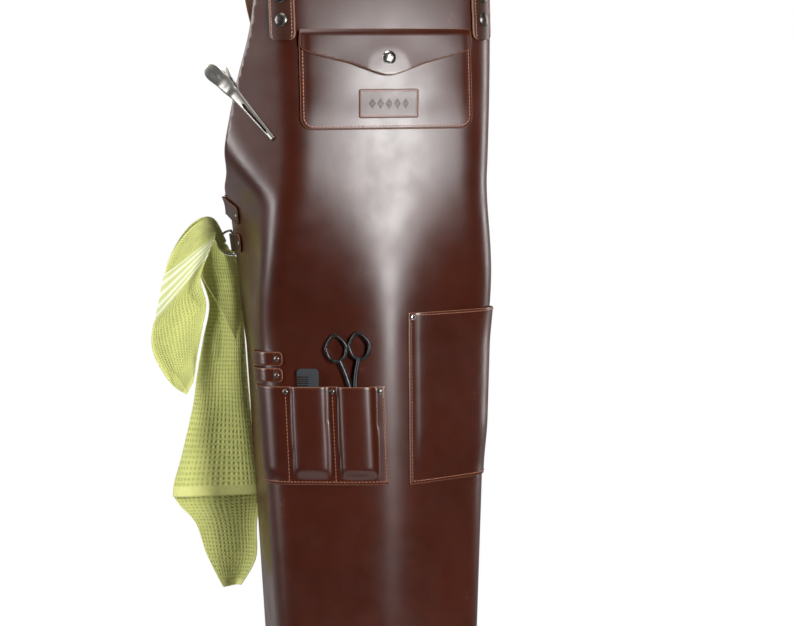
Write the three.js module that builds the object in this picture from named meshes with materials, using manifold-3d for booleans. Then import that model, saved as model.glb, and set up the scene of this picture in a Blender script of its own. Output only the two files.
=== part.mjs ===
// A leather work apron in its worn form, with what hangs on it and sits in its pockets.
// Millimetres. +X to the wearer's left (right as seen from the front), the front faces -Y, +Z up.
// The origin is midway between the tops of the two shoulder straps, where the shoulders hold it up.
import * as THREE from 'three';
import Module from 'manifold-3d';
import { mergeVertices } from 'three/addons/utils/BufferGeometryUtils.js';

const wasm = await Module();
wasm.setup();

// ---------------------------------------------------------------- driving sizes
// Heights are z values, widths are measured along the leather from its centre line.
const BIB_TOP = -140;
const APRON_LENGTH = 860;
const BIB_HALF = 152;
const SKIRT_HALF = 280;
const ARMHOLE_DROP = 290;
const HIDE = 2;
const GAP = 0.3;

// how the hide bends round the wearer
const FRONT = 125;
const CHEST_BOW = 5.34;
const SKIRT_RIDGE = 26;
const SIDE_TURN = 70;
const CHEST_TURN_START = 74;
const SKIRT_TURN_START = 114;
const TURN_WIDTH = 70;
const CHEST_UNTIL = -330;
const SKIRT_BLEND = 200;
const SKIRT_SPREAD = 0.118;
const RIDGE_FROM = -350;
const RIDGE_BLEND = 220;
const RIDGE_ROUND_HIGH = 90;
const RIDGE_ROUND_LOW = 36;
const SKIRT_FROM = -360;
const ARMHOLE_FLARE = 44;
const FREE_FLARE = 110;
const FLARE_EASE = 6;
const FLARE_HOLD_HIGH = 180;
const FLARE_HOLD_LOW = 60;
const FLARE_SPAN = 110;
const ARMHOLE_UNTIL = -470;
const ARMHOLE_BLEND = 180;
const SIDE_ROLL = 7;
const SIDE_ROLL_Z = -400;
const SIDE_ROLL_REACH = 60;
const SIDE_LEAN = 0.0078;
const SIDE_LEAN_Z = -450;
const CHEST_BACK = 14;
const CHEST_BACK_OVER = 190;
const HEM_CORNER = 22;

// chest pocket
const POCKET_HALF = 101;
const POCKET_TOP = -206;
const POCKET_BOTTOM = -313;
const POCKET_CORNER = 14;
const POCKET_SHEET = 1.6;
const BACKING_SHEET = 1.2;
const POCKET_ROOM = 6;
const FLAP_TOP = -199;
const FLAP_SIDE = 18;
const FLAP_DROP = 53;
const FLAP_HALF = 100;
const FLAP_SNAP_Z = -232;
const LABEL_WIDTH = 70;
const LABEL_HEIGHT = 32;
const LABEL_Z = -284;
const LABEL_GAP = 0.7;

// tool pocket and loops
const TOOL_RIGHT = -7;
const TOOL_PITCH = 55;
const TOOL_SEAM = 6;
const TOOL_TOP = -607;
const TOOL_HEIGHT = 114;
const TOOL_SLANT = 0.035;
const SCISSOR_ROOM = 12;
const COMB_ROOM = 8;
const SPARE_ROOM = 7;
const LOOP_HEIGHT = 16;
const LOOP_PITCH = 50;
const LOOP_RIGHT = -133;
const LOOP_UPPER_Z = -575;
const LOOP_LOWER_Z = -594;
const LOOP_ROOM = 6;

// side pocket
const SIDE_LEFT = 22;
const SIDE_WIDTH = 158;
const SIDE_TOP = -524;
const SIDE_HEIGHT = 199;
const SIDE_ROOM = 9;

// shoulder straps and their snaps
const STRAP_S = 119;
const STRAP_WIDTH = 29;
const STRAP_SHEET = 2.6;
const STRAP_END = -211;
const STRAP_STAND = 2.2;
const SNAP_LOW = -188;
const SNAP_PITCH = 27;
const SNAP_RADIUS = 7.75;
const SNAP_HOLE = 3.4;
const FLAP_SNAP_HOLE = 2.2;
const CROSS_Z = -322;
const CROSS_Y = 118;
const STRAP_LOOP_BACK = 26;
const STRAP_LOOP_LESS = 11;
const LOOP_SLACK = 2.2;
const CROSS_PATCH = 34;
const CROSS_GAP = 2;
const CROSS_PATCH_SHEET = 2;

// D-rings and the tabs that hold them
const RING_WIRE = 1.5;
const RING_BAR = 30;
const RING_CORNER = 2;
const REAR_RING_CORNER = 5;
const RING_DEPTH = 18;
const TAB_HEIGHT = RING_BAR - 8;
const TAB_SHEET = 1.6;
const TAB_GAP = 1.1;
const BAR_SLACK = 1;
const TAB_REACH = 52;
const TAB_RIVET = 34;
const TAB_PAST_EDGE = 7;
const TOWEL_TAB_Z = -444;
const REAR_TAB_Z = -402;
const REAR_TAB_TILT = 16;
const RING_TURN = 72;
const TOWEL_RING_TURN = 76;
const STRAP_LOOP_WIDTH = RING_BAR - STRAP_LOOP_LESS;

// rivets
const RIVET_HEAD = 3.1;
const RIVET_SHANK = 1.2;
const RIVET_HOLE = 2;
const RIVET_GAP = 0.8;
const RIVET_LAND = 6.5;

// hair clip
const CLIP_JAW = 84;
const CLIP_HANDLE = 33;
const CLIP_WIDE = 20;
const CLIP_TIP = 6;
const CLIP_SHEET = 1.3;
const CLIP_ANGLE = 46;
const CLIP_EDGE_SHARE = 33 / 128;
const CLIP_PAST_EDGE = 8;
const CLIP_S = -BIB_HALF - (SKIRT_HALF - BIB_HALF) * CLIP_EDGE_SHARE - CLIP_PAST_EDGE;
const CLIP_Z = -262;
const CLIP_SPREAD = 11;
const CLIP_GAP = 0.9;

// scissors and comb
const SCISSOR_S = TOOL_RIGHT - TOOL_SEAM - TOOL_PITCH / 2 - 0.5;
const SCISSOR_PIVOT_Z = -634;
const SCISSOR_BLADE = 64;
const SCISSOR_SHEET = 2.1;
const SCISSOR_TILT = 5.6;
const SCISSOR_CLEAR = 1.94;
const RING_SPREAD = 13.6;
const RING_RISE = 73;
const RING_HALF = 13.2;
const RING_TALL = 17;
const RING_BAND = 3.6;
const COMB_LENGTH = 112;
const COMB_WIDTH = 25.5;
const COMB_SHEET = 3;
const COMB_TOP = -586;
const COMB_STAND = 2;
const COMB_PITCH = 5;

// towel
const TOWEL_WIDTH = 92;
const TOWEL_THICK = 26;
const TOWEL_DROP = 410;
const TOWEL_TAIL = 160;

const LEATHER = { color: 0x4a1f17, roughness: 0.4, metalness: 0 };
const STRAP_LEATHER = { color: 0x5b2a1a, roughness: 0.5, metalness: 0 };
const NICKEL = { color: 0xc9c6c0, roughness: 0.25, metalness: 1 };
const GUNMETAL = { color: 0x4c4a48, roughness: 0.35, metalness: 1 };
const BLACK_IRON = { color: 0x26272a, roughness: 0.5, metalness: 0.8 };
const BLACK_PLASTIC = { color: 0x151719, roughness: 0.45, metalness: 0 };
const WAFFLE_COTTON = { color: 0xb4cf5e, roughness: 0.95, metalness: 0 };

const part = new THREE.Group();

// ---------------------------------------------------------------- the worn surface
const clamp01 = (t) => Math.min(Math.max(t, 0), 1);
const smooth = (t) => clamp01(t) ** 2 * (3 - 2 * clamp01(t));
const radians = (degrees) => degrees * Math.PI / 180;
const mix = (a, b, t) => a + (b - a) * t;

// The angle that the hide has turned through at width s and height z.
function turn(s, z) {
  const low = smooth((SKIRT_FROM - z) / SKIRT_BLEND);
  const stretch = 1 + SKIRT_SPREAD * (z + 600) / 300;
  const roll = s < 0 ? SIDE_ROLL * Math.exp(-(((z - SIDE_ROLL_Z) / SIDE_ROLL_REACH) ** 2)) : 0;
  const start = mix(CHEST_TURN_START, SKIRT_TURN_START, low) * stretch + roll;
  const a = Math.abs(s);
  const bow = radians(CHEST_BOW) * (1 - low) * a / 100;
  const folded = smooth((RIDGE_FROM - z) / RIDGE_BLEND);
  const round = mix(RIDGE_ROUND_HIGH, RIDGE_ROUND_LOW, folded);
  const ridge = radians(SKIRT_RIDGE) * folded * Math.tanh(a / round);
  const side = radians(SIDE_TURN) * smooth((a - start) / (TURN_WIDTH * stretch));
  const hold = mix(FLARE_HOLD_LOW, FLARE_HOLD_HIGH, smooth((z - ARMHOLE_UNTIL) / ARMHOLE_BLEND));
  const flare = radians(mix(ARMHOLE_FLARE, FREE_FLARE, smooth((a - hold) / FLARE_SPAN)));
  const angle = bow + ridge + side;
  const eased = (angle + flare - Math.hypot(angle - flare, radians(FLARE_EASE))) / 2;
  return s < 0 ? -eased : angle;
}

const SLICES = 40;

// The point d outside the hide's outer face at width s and height z.
function worn(s, z, d = 0) {
  let x = 0;
  let y = 0;
  for (let i = 0; i < SLICES; i += 1) {
    const angle = turn(s * (i + 0.5) / SLICES, z);
    x += Math.cos(angle) * s / SLICES;
    y += Math.sin(angle) * s / SLICES;
  }
  const end = turn(s, z);
  const lean = SIDE_LEAN * (z - SIDE_LEAN_Z);
  const chestBack = CHEST_BACK * Math.max((z - CHEST_UNTIL) / CHEST_BACK_OVER, 0) ** 2;
  return new THREE.Vector3(
    x + lean + Math.sin(end) * d,
    y - FRONT + chestBack - Math.cos(end) * d,
    z,
  );
}

function normalAt(s, z) {
  const along = worn(s + 1, z).sub(worn(s - 1, z));
  const up = worn(s, z + 1).sub(worn(s, z - 1));
  return along.cross(up).normalize();
}

// ---------------------------------------------------------------- solids and meshes
function toSolid(geometry) {
  geometry.deleteAttribute('normal');
  geometry.deleteAttribute('uv');
  const merged = mergeVertices(geometry, 1e-4);
  return new wasm.Manifold(new wasm.Mesh({
    numProp: 3,
    vertProperties: new Float32Array(merged.attributes.position.array),
    triVerts: new Uint32Array(merged.index.array),
  }));
}

function toGeometry(solid) {
  const mesh = solid.getMesh();
  const geometry = new THREE.BufferGeometry();
  geometry.setAttribute('position', new THREE.BufferAttribute(new Float32Array(mesh.vertProperties), 3));
  geometry.setIndex(new THREE.BufferAttribute(new Uint32Array(mesh.triVerts), 1));
  return geometry;
}

function addMesh(name, geometry, finish) {
  geometry.computeVertexNormals();
  const mesh = new THREE.Mesh(geometry, new THREE.MeshStandardMaterial(finish));
  mesh.name = name;
  part.add(mesh);
  return mesh;
}

// Puts a mesh in a frame: its own x, y and z run along the three given directions.
function setFrame(mesh, origin, xAxis, yAxis, zAxis) {
  mesh.position.copy(origin);
  mesh.quaternion.setFromRotationMatrix(new THREE.Matrix4().makeBasis(xAxis, yAxis, zAxis));
}

// ---------------------------------------------------------------- leather pieces
// A piece is cut flat from a gridded hide, punched, and then bent to the worn shape.
// In the flat frame x is the width s, -y is the height above the hide's face and z is z.
const FLAT_BOW = 3e-4;

// All pieces share one set of fold lines, so stacked layers bend alike; a piece may split them.
function foldLines(low, high, split, coarseFrom) {
  const lines = [];
  const reach = 1100;
  for (let at = -reach; at <= reach;) {
    const step = coarseFrom(at);
    for (let i = 0; i < split; i += 1) lines.push(at + step * i / split);
    at += step;
  }
  return [low, ...lines.filter((line) => line > low + 0.5 && line < high - 0.5), high];
}

const acrossStep = (s) => (Math.abs(s + 0.1) < 180 ? 10 : 25);

// Rows are close where the sides roll back, and far apart down the straight skirt.
function downStep(z) {
  if (z < -650) return 90;
  return z > RIDGE_FROM - RIDGE_BLEND - 20 && z < CHEST_UNTIL ? 15 : 30;
}

// A closed slab in the flat frame, gridded over s and z.
function flatHide(columns, rows, base, thick, rise) {
  const vertices = [];
  const index = [];
  [base + thick, base].forEach((d) => rows.forEach((z) => columns.forEach((s) => {
    vertices.push(s, rise(s, z) - d, z);
  })));
  const wide = columns.length;
  const half = wide * rows.length;
  const quad = (a, b, c, d) => index.push(a, b, c, a, c, d);
  for (let i = 0; i + 1 < rows.length; i += 1) {
    for (let j = 0; j + 1 < wide; j += 1) {
      const at = i * wide + j;
      quad(at, at + 1, at + wide + 1, at + wide);
      quad(half + at, half + at + wide, half + at + wide + 1, half + at + 1);
    }
    const left = i * wide;
    const right = left + wide - 1;
    quad(left, left + wide, half + left + wide, half + left);
    quad(right, half + right, half + right + wide, right + wide);
  }
  const top = half - wide;
  for (let j = 0; j + 1 < wide; j += 1) {
    quad(j, half + j, half + j + 1, j + 1);
    quad(top + j, top + j + 1, half + top + j + 1, half + top + j);
  }
  const geometry = new THREE.BufferGeometry();
  geometry.setAttribute('position', new THREE.Float32BufferAttribute(vertices, 3));
  geometry.setIndex(index);
  return geometry;
}

function cutLeather({ outline, holes = [], base, thick, room = () => 0, split = [1, 1] }) {
  const low = new THREE.Vector2(Infinity, Infinity);
  const high = new THREE.Vector2(-Infinity, -Infinity);
  outline.getPoints(4).forEach((spot) => {
    low.min(spot);
    high.max(spot);
  });
  const centre = high.clone().add(low).multiplyScalar(0.5);
  const rise = (s, z) => FLAT_BOW * ((s - centre.x) ** 2 + (z - centre.y) ** 2);
  const columns = foldLines(low.x - 2, high.x + 2, split[0], acrossStep);
  const rows = foldLines(low.y - 2, high.y + 2, split[1], downStep);
  const hide = flatHide(columns, rows, base, thick, rise);
  holes.forEach(([s, z, radius]) => {
    const hole = new THREE.Path();
    hole.absarc(s, z, radius, 0, Math.PI * 2, true);
    outline.holes.push(hole);
  });
  const cutter = new THREE.ExtrudeGeometry(outline, { depth: 900, bevelEnabled: false, curveSegments: 4 });
  cutter.translate(0, 0, -450);
  cutter.rotateX(Math.PI / 2);
  const geometry = toGeometry(toSolid(hide).intersect(toSolid(cutter)));
  const spot = geometry.attributes.position;
  for (let i = 0; i < spot.count; i += 1) {
    const s = spot.getX(i);
    const z = spot.getZ(i);
    const face = rise(s, z) - spot.getY(i) > base + thick / 2 ? base + thick : base;
    const d = face + room(s, z);
    const point = worn(s, z, d);
    spot.setXYZ(i, point.x, point.y, point.z);
  }
  return geometry;
}

function roundedOutline(left, bottom, width, height, lowRadius, highRadius) {
  const right = left + width;
  const top = bottom + height;
  const shape = new THREE.Shape();
  shape.moveTo(left, top - highRadius);
  shape.lineTo(left, bottom + lowRadius);
  if (lowRadius) shape.absarc(left + lowRadius, bottom + lowRadius, lowRadius, Math.PI, Math.PI * 1.5);
  shape.lineTo(right - lowRadius, bottom);
  if (lowRadius) shape.absarc(right - lowRadius, bottom + lowRadius, lowRadius, Math.PI * 1.5, Math.PI * 2);
  shape.lineTo(right, top - highRadius);
  if (highRadius) shape.absarc(right - highRadius, top - highRadius, highRadius, 0, Math.PI / 2);
  shape.lineTo(left + highRadius, top);
  if (highRadius) shape.absarc(left + highRadius, top - highRadius, highRadius, Math.PI / 2, Math.PI);
  return shape;
}

// A full, flat-topped swell between two sides, nothing at the sides themselves.
function swell(value, low, high) {
  const across = clamp01((value - low) / (high - low)) * 2 - 1;
  return Math.sqrt(1 - Math.abs(across) ** 3);
}

// ---------------------------------------------------------------- rivets and snaps
// Profiles run along the stud's own y axis, which points out of the leather.
function lathe(name, profile, s, z, d, finish, segments = 14) {
  const points = profile.map(([radius, height]) => new THREE.Vector2(radius, height));
  const mesh = addMesh(name, new THREE.LatheGeometry(points, segments), finish);
  mesh.position.copy(worn(s, z, d));
  mesh.quaternion.setFromUnitVectors(new THREE.Vector3(0, 1, 0), normalAt(s, z));
  return mesh;
}

// A tubular rivet: a low domed head outside, a shank, and a flat burr inside.
function rivet(name, s, z, outside, inside, finish = GUNMETAL) {
  lathe(name, [
    [0, inside - RIVET_GAP - 1],
    [RIVET_HEAD - 0.2, inside - RIVET_GAP - 1],
    [RIVET_HEAD - 0.2, inside - RIVET_GAP],
    [RIVET_SHANK, inside - RIVET_GAP],
    [RIVET_SHANK, outside + RIVET_GAP],
    [RIVET_HEAD, outside + RIVET_GAP],
    [RIVET_HEAD * 0.75, outside + RIVET_GAP + 0.8],
    [0, outside + RIVET_GAP + 1.1],
  ], s, z, 0, finish, 10);
}

// ---------------------------------------------------------------- apron body
const sideRivetS = SIDE_LEFT + 5;
const sideRivetFar = SIDE_LEFT + SIDE_WIDTH - 5;
const sideRivetZ = SIDE_TOP - 5;
const toolRivetZ = TOOL_TOP - 6;
const toolRivetS = [0, 1, 2, 3].map((i) => TOOL_RIGHT - TOOL_SEAM - i * TOOL_PITCH);
const snapZ = [SNAP_LOW, SNAP_LOW + SNAP_PITCH];
const tabRivetS = SKIRT_HALF - TAB_RIVET;

function armhole(shape, side) {
  const spread = SKIRT_HALF - BIB_HALF;
  // each pair is a share of the added width and a share of the drop
  const route = [[1, 0.86], [0.88, 0.82], [0.55, 0.745], [0.4, 0.64], [0.25, 0.41], [0.09, 0.2], [0, 0]];
  const points = route.map(([w, t]) => (
    new THREE.Vector2(side * (BIB_HALF + spread * w), BIB_TOP - ARMHOLE_DROP * t)
  ));
  const ordered = side > 0 ? points : points.reverse();
  shape.lineTo(ordered[0].x, ordered[0].y);
  shape.splineThru(ordered.slice(1));
}

function apronOutline() {
  const hem = BIB_TOP - APRON_LENGTH;
  const corner = HEM_CORNER;
  const shape = new THREE.Shape();
  shape.moveTo(-SKIRT_HALF, hem + corner);
  shape.absarc(-SKIRT_HALF + corner, hem + corner, corner, Math.PI, Math.PI * 1.5);
  shape.absarc(SKIRT_HALF - corner, hem + corner, corner, Math.PI * 1.5, Math.PI * 2);
  armhole(shape, 1);
  armhole(shape, -1);
  return shape;
}

const loopHoles = (z) => [LOOP_RIGHT, LOOP_RIGHT - LOOP_PITCH].map((s) => [s, z, RIVET_HOLE]);
const bodyHoles = [
  ...toolRivetS.map((s) => [s, toolRivetZ, RIVET_HOLE]),
  ...loopHoles(LOOP_UPPER_Z),
  ...loopHoles(LOOP_LOWER_Z),
  ...[-STRAP_S, STRAP_S].flatMap((s) => snapZ.map((z) => [s, z, SNAP_HOLE])),
  [sideRivetS, sideRivetZ, RIVET_HOLE],
  [sideRivetFar, sideRivetZ, RIVET_HOLE],
  [-tabRivetS, TOWEL_TAB_Z, RIVET_HOLE],
  ...[-1, 1].map((side) => [
    side * (SKIRT_HALF - TAB_RIVET * Math.cos(radians(REAR_TAB_TILT))),
    REAR_TAB_Z - TAB_RIVET * Math.sin(radians(REAR_TAB_TILT)),
    RIVET_HOLE,
  ]),
];

addMesh('apron_body', cutLeather({
  outline: apronOutline(), holes: bodyHoles, base: -HIDE, thick: HIDE,
}), LEATHER);

// ---------------------------------------------------------------- chest pocket
const backingTop = GAP + BACKING_SHEET;
const pocketBase = backingTop + GAP;
const pocketFace = pocketBase + POCKET_SHEET;
const seam = 7;

function pocketRoom(s, z) {
  const side = swell(s, -POCKET_HALF + seam, POCKET_HALF - seam);
  return POCKET_ROOM * side * smooth((z - POCKET_BOTTOM - seam) / 20);
}

const pocketHeight = (top) => top - POCKET_BOTTOM;
addMesh('chest_pocket_back', cutLeather({
  outline: roundedOutline(-POCKET_HALF, POCKET_BOTTOM, POCKET_HALF * 2, pocketHeight(FLAP_TOP), POCKET_CORNER, 0),
  base: GAP, thick: BACKING_SHEET,
}), LEATHER);

addMesh('chest_pocket', cutLeather({
  outline: roundedOutline(-POCKET_HALF, POCKET_BOTTOM, POCKET_HALF * 2, pocketHeight(POCKET_TOP), POCKET_CORNER, 0),
  holes: [[0, FLAP_SNAP_Z, FLAP_SNAP_HOLE]],
  base: pocketBase, thick: POCKET_SHEET, room: pocketRoom, split: [1, 4],
}), LEATHER);

function flapOutline() {
  const tip = FLAP_TOP - FLAP_DROP;
  const shape = new THREE.Shape();
  shape.moveTo(-FLAP_HALF, FLAP_TOP);
  shape.lineTo(-FLAP_HALF, FLAP_TOP - FLAP_SIDE);
  shape.quadraticCurveTo(-FLAP_HALF + 1, FLAP_TOP - FLAP_SIDE - 6, -FLAP_HALF + 12, FLAP_TOP - FLAP_SIDE - 9);
  shape.lineTo(-12, tip + 3);
  shape.quadraticCurveTo(0, tip - 2, 12, tip + 3);
  shape.lineTo(FLAP_HALF - 12, FLAP_TOP - FLAP_SIDE - 9);
  shape.quadraticCurveTo(FLAP_HALF - 1, FLAP_TOP - FLAP_SIDE - 6, FLAP_HALF, FLAP_TOP - FLAP_SIDE);
  shape.lineTo(FLAP_HALF, FLAP_TOP);
  return shape;
}

// The flap stands off by one snap over the filled pocket and closes in at its fold.
const snapStack = 2;
function flapRoom(s, z) {
  return POCKET_ROOM * swell(s, -POCKET_HALF + seam, POCKET_HALF - seam) + 0.02 * (FLAP_TOP - z);
}

const flapBase = pocketFace + GAP + snapStack - 1;
const flapFace = flapBase + POCKET_SHEET;
addMesh('chest_flap', cutLeather({
  outline: flapOutline(),
  holes: [[0, FLAP_SNAP_Z, FLAP_SNAP_HOLE]],
  base: flapBase, thick: POCKET_SHEET, room: flapRoom, split: [1, 2],
}), LEATHER);

const flapAtSnap = flapFace + flapRoom(0, FLAP_SNAP_Z);
lathe('flap_snap_cap', [
  [0, -POCKET_SHEET - GAP - 0.9],
  [4.2, -POCKET_SHEET - GAP - 0.9],
  [4.2, -POCKET_SHEET - GAP],
  [1.8, -POCKET_SHEET - GAP],
  [1.8, GAP],
  [SNAP_RADIUS, GAP],
  [SNAP_RADIUS, GAP + 0.7],
  [SNAP_RADIUS * 0.8, GAP + 2.6],
  [SNAP_RADIUS * 0.42, GAP + 3.7],
  [0, GAP + 4.1],
], 0, FLAP_SNAP_Z, flapAtSnap, NICKEL, 20);

const pocketAtSnap = pocketFace + pocketRoom(0, FLAP_SNAP_Z);
lathe('pocket_snap_stud', [
  [0, -POCKET_SHEET - GAP - 0.8],
  [4.4, -POCKET_SHEET - GAP - 0.8],
  [4.4, -POCKET_SHEET - GAP],
  [1.8, -POCKET_SHEET - GAP],
  [1.8, 0.4],
  [0, 0.4],
], 0, FLAP_SNAP_Z, pocketAtSnap, NICKEL, 14);

addMesh('label_patch', cutLeather({
  outline: roundedOutline(-LABEL_WIDTH / 2, LABEL_Z - LABEL_HEIGHT / 2, LABEL_WIDTH, LABEL_HEIGHT, 2, 2),
  base: pocketFace + LABEL_GAP, thick: 1, room: pocketRoom, split: [1, 4],
}), LEATHER);

// ---------------------------------------------------------------- tool pocket with three bays
const toolFar = TOOL_SEAM * 2 + TOOL_PITCH * 3;
const shear = (z) => TOOL_SLANT * (TOOL_TOP - z);
const toolBottom = TOOL_TOP - TOOL_HEIGHT;
const bayRoom = [SCISSOR_ROOM, COMB_ROOM, SPARE_ROOM];

function toolRoom(s, z) {
  const across = TOOL_RIGHT - TOOL_SEAM - (s - shear(z));
  const bay = Math.floor(across / TOOL_PITCH);
  if (bay < 0 || bay > 2) return 0;
  const inBay = swell(across - bay * TOOL_PITCH, RIVET_LAND, TOOL_PITCH - RIVET_LAND);
  return bayRoom[bay] * inBay * smooth((z - toolBottom - 5) / 14);
}

function toolOutline() {
  const shift = shear(toolBottom);
  const left = TOOL_RIGHT - toolFar;
  const shape = new THREE.Shape();
  shape.moveTo(left, TOOL_TOP);
  shape.lineTo(left + shift, toolBottom);
  shape.lineTo(TOOL_RIGHT + shift, toolBottom);
  shape.lineTo(TOOL_RIGHT, TOOL_TOP);
  return shape;
}

addMesh('tool_pocket', cutLeather({
  outline: toolOutline(), holes: toolRivetS.map((s) => [s, toolRivetZ, RIVET_HOLE]),
  base: GAP, thick: POCKET_SHEET, room: toolRoom, split: [2, 4],
}), LEATHER);
toolRivetS.forEach((s, i) => rivet(`tool_pocket_rivet_${i + 1}`, s, toolRivetZ, GAP + POCKET_SHEET, -HIDE));

function loopRoom(s) {
  return LOOP_ROOM * swell(s, LOOP_RIGHT - LOOP_PITCH + RIVET_LAND, LOOP_RIGHT - RIVET_LAND);
}

[['upper', LOOP_UPPER_Z], ['lower', LOOP_LOWER_Z]].forEach(([place, z]) => {
  const end = 7;
  addMesh(`tool_loop_${place}`, cutLeather({
    outline: roundedOutline(
      LOOP_RIGHT - LOOP_PITCH - end, z - LOOP_HEIGHT / 2, LOOP_PITCH + end * 2, LOOP_HEIGHT, 5, 5,
    ),
    holes: loopHoles(z),
    base: GAP, thick: POCKET_SHEET, room: loopRoom, split: [2, 1],
  }), LEATHER);
  rivet(`loop_rivet_${place}_right`, LOOP_RIGHT, z, GAP + POCKET_SHEET, -HIDE);
  rivet(`loop_rivet_${place}_left`, LOOP_RIGHT - LOOP_PITCH, z, GAP + POCKET_SHEET, -HIDE);
});

// ---------------------------------------------------------------- side pocket
const sideBottom = SIDE_TOP - SIDE_HEIGHT;

function sideRoom(s, z) {
  const land = 4 + RIVET_LAND;
  const inside = swell(s, SIDE_LEFT + land, SIDE_LEFT + SIDE_WIDTH - land);
  return SIDE_ROOM * inside * smooth((z - sideBottom - 6) / 40);
}

addMesh('side_pocket', cutLeather({
  outline: roundedOutline(SIDE_LEFT, sideBottom, SIDE_WIDTH, SIDE_HEIGHT, 0, 0),
  holes: [[sideRivetS, sideRivetZ, RIVET_HOLE], [sideRivetFar, sideRivetZ, RIVET_HOLE]],
  base: GAP, thick: POCKET_SHEET, room: sideRoom, split: [1, 3],
}), LEATHER);
rivet('side_pocket_rivet_front', sideRivetS, sideRivetZ, GAP + POCKET_SHEET, -HIDE, NICKEL);
rivet('side_pocket_rivet_rear', sideRivetFar, sideRivetZ, GAP + POCKET_SHEET, -HIDE, NICKEL);

// ---------------------------------------------------------------- D-rings and folded tabs
// A tab is folded round the ring's straight bar and grips both faces of the hide's edge.
// Its own frame on the hide: u runs outwards past the edge, v along the bar, d off the face.
function tabPoint(side, z0, tilt, u, v, d) {
  const cos = Math.cos(radians(tilt));
  const sin = Math.sin(radians(tilt));
  const s = SKIRT_HALF + u * cos - v * sin;
  return worn(side * s, z0 + u * sin + v * cos, d);
}

const barD = -HIDE / 2;
const loopInner = RING_WIRE + BAR_SLACK;
const barU = TAB_PAST_EDGE + loopInner;

function foldedTab(name, side, z0, tilt) {
  const start = -TAB_REACH + barU;
  const outer = TAB_GAP + TAB_SHEET;
  const shape = new THREE.Shape();
  const along = (from, to, d) => {
    const count = 5;
    for (let i = 0; i <= count; i += 1) {
      const u = mix(from, to, i / count);
      if (i === 0 && shape.curves.length === 0 && from === start) shape.moveTo(u, d);
      else shape.lineTo(u, d);
    }
  };
  along(start, barU - 5, TAB_GAP);
  shape.lineTo(barU, barD + loopInner);
  shape.absarc(barU, barD, loopInner, Math.PI / 2, -Math.PI / 2, true);
  along(barU - 5, start, -HIDE - TAB_GAP);
  along(start, barU - 4, -HIDE - outer);
  shape.absarc(barU, barD, loopInner + TAB_SHEET, -Math.PI / 2, Math.PI / 2, false);
  along(barU - 4, start, outer);
  const blank = new THREE.ExtrudeGeometry(shape, {
    depth: TAB_HEIGHT, steps: 2, bevelEnabled: false, curveSegments: 5,
  });
  blank.translate(0, 0, -TAB_HEIGHT / 2);
  const drill = new THREE.CylinderGeometry(RIVET_HOLE, RIVET_HOLE, 40, 10);
  drill.translate(-TAB_RIVET, 0, 0);
  const geometry = toGeometry(toSolid(blank).subtract(toSolid(drill)));
  const spot = geometry.attributes.position;
  for (let i = 0; i < spot.count; i += 1) {
    const v = side > 0 ? spot.getZ(i) : -spot.getZ(i);
    const point = tabPoint(side, z0, tilt, spot.getX(i), v, spot.getY(i));
    spot.setXYZ(i, point.x, point.y, point.z);
  }
  geometry.index.array.reverse();
  addMesh(name, geometry, STRAP_LEATHER);
  const s = side * (SKIRT_HALF - TAB_RIVET * Math.cos(radians(tilt)));
  rivet(`${name}_rivet`, s, z0 - TAB_RIVET * Math.sin(radians(tilt)), outer, -HIDE - outer);
}

// The closed wire of a D-ring: a straight bar and a bow, in its own x (out) and y (bar) plane.
function ringWire(bow) {
  const half = RING_BAR / 2;
  const round = RING_CORNER;
  const shape = new THREE.Shape();
  shape.moveTo(0, -half + round);
  shape.lineTo(0, half - round);
  shape.absarc(round, half - round, round, Math.PI, Math.PI / 2, true);
  shape.absellipse(RING_DEPTH - bow[0], half - bow[1], bow[0], bow[1], Math.PI / 2, 0, true);
  shape.absellipse(RING_DEPTH - bow[0], -half + bow[1], bow[0], bow[1], 0, -Math.PI / 2, true);
  shape.absarc(round, -half + round, round, -Math.PI / 2, -Math.PI, true);
  const around = 30;
  const sides = 6;
  const spots = shape.getSpacedPoints(around).slice(0, around);
  const vertices = [];
  const index = [];
  for (let i = 0; i < around; i += 1) {
    const before = spots[(i + around - 1) % around];
    const after = spots[(i + 1) % around];
    const out = new THREE.Vector2(after.y - before.y, before.x - after.x).normalize();
    for (let k = 0; k < sides; k += 1) {
      const angle = 2 * Math.PI * k / sides;
      const reach = RING_WIRE * Math.cos(angle);
      vertices.push(spots[i].x + out.x * reach, spots[i].y + out.y * reach, RING_WIRE * Math.sin(angle));
      const next = (i + 1) % around;
      const turnK = (k + 1) % sides;
      const [a, b, c, d] = [i * sides + k, next * sides + k, next * sides + turnK, i * sides + turnK];
      index.push(a, b, c, a, c, d);
    }
  }
  const geometry = new THREE.BufferGeometry();
  geometry.setAttribute('position', new THREE.Float32BufferAttribute(vertices, 3));
  geometry.setIndex(index);
  return geometry;
}

// Directions of a ring's bar and of its bow once it has turned about the bar.
function ringFrame(side, z0, tilt, swing) {
  const centre = tabPoint(side, z0, tilt, barU, 0, barD);
  const top = tabPoint(side, z0, tilt, barU, TAB_HEIGHT / 2, barD);
  const foot = tabPoint(side, z0, tilt, barU, -TAB_HEIGHT / 2, barD);
  const bar = top.clone().sub(foot).normalize();
  centre.lerp(top.add(foot).multiplyScalar(0.5), 0.5);
  const out = tabPoint(side, z0, tilt, barU + 1, 0, barD).sub(centre).normalize();
  out.addScaledVector(bar, -out.dot(bar)).normalize();
  out.applyAxisAngle(bar, radians(swing));
  return { centre, bar, out, face: out.clone().cross(bar) };
}

function dRing(name, frame, bow) {
  const mesh = addMesh(name, ringWire(bow), NICKEL);
  setFrame(mesh, frame.centre, frame.out, frame.bar, frame.face);
}

foldedTab('towel_ring_tab', -1, TOWEL_TAB_Z, 0);
const towelRing = ringFrame(-1, TOWEL_TAB_Z, 0, TOWEL_RING_TURN);
dRing('towel_ring', towelRing, [RING_DEPTH - RING_CORNER, RING_BAR / 2]);

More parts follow.
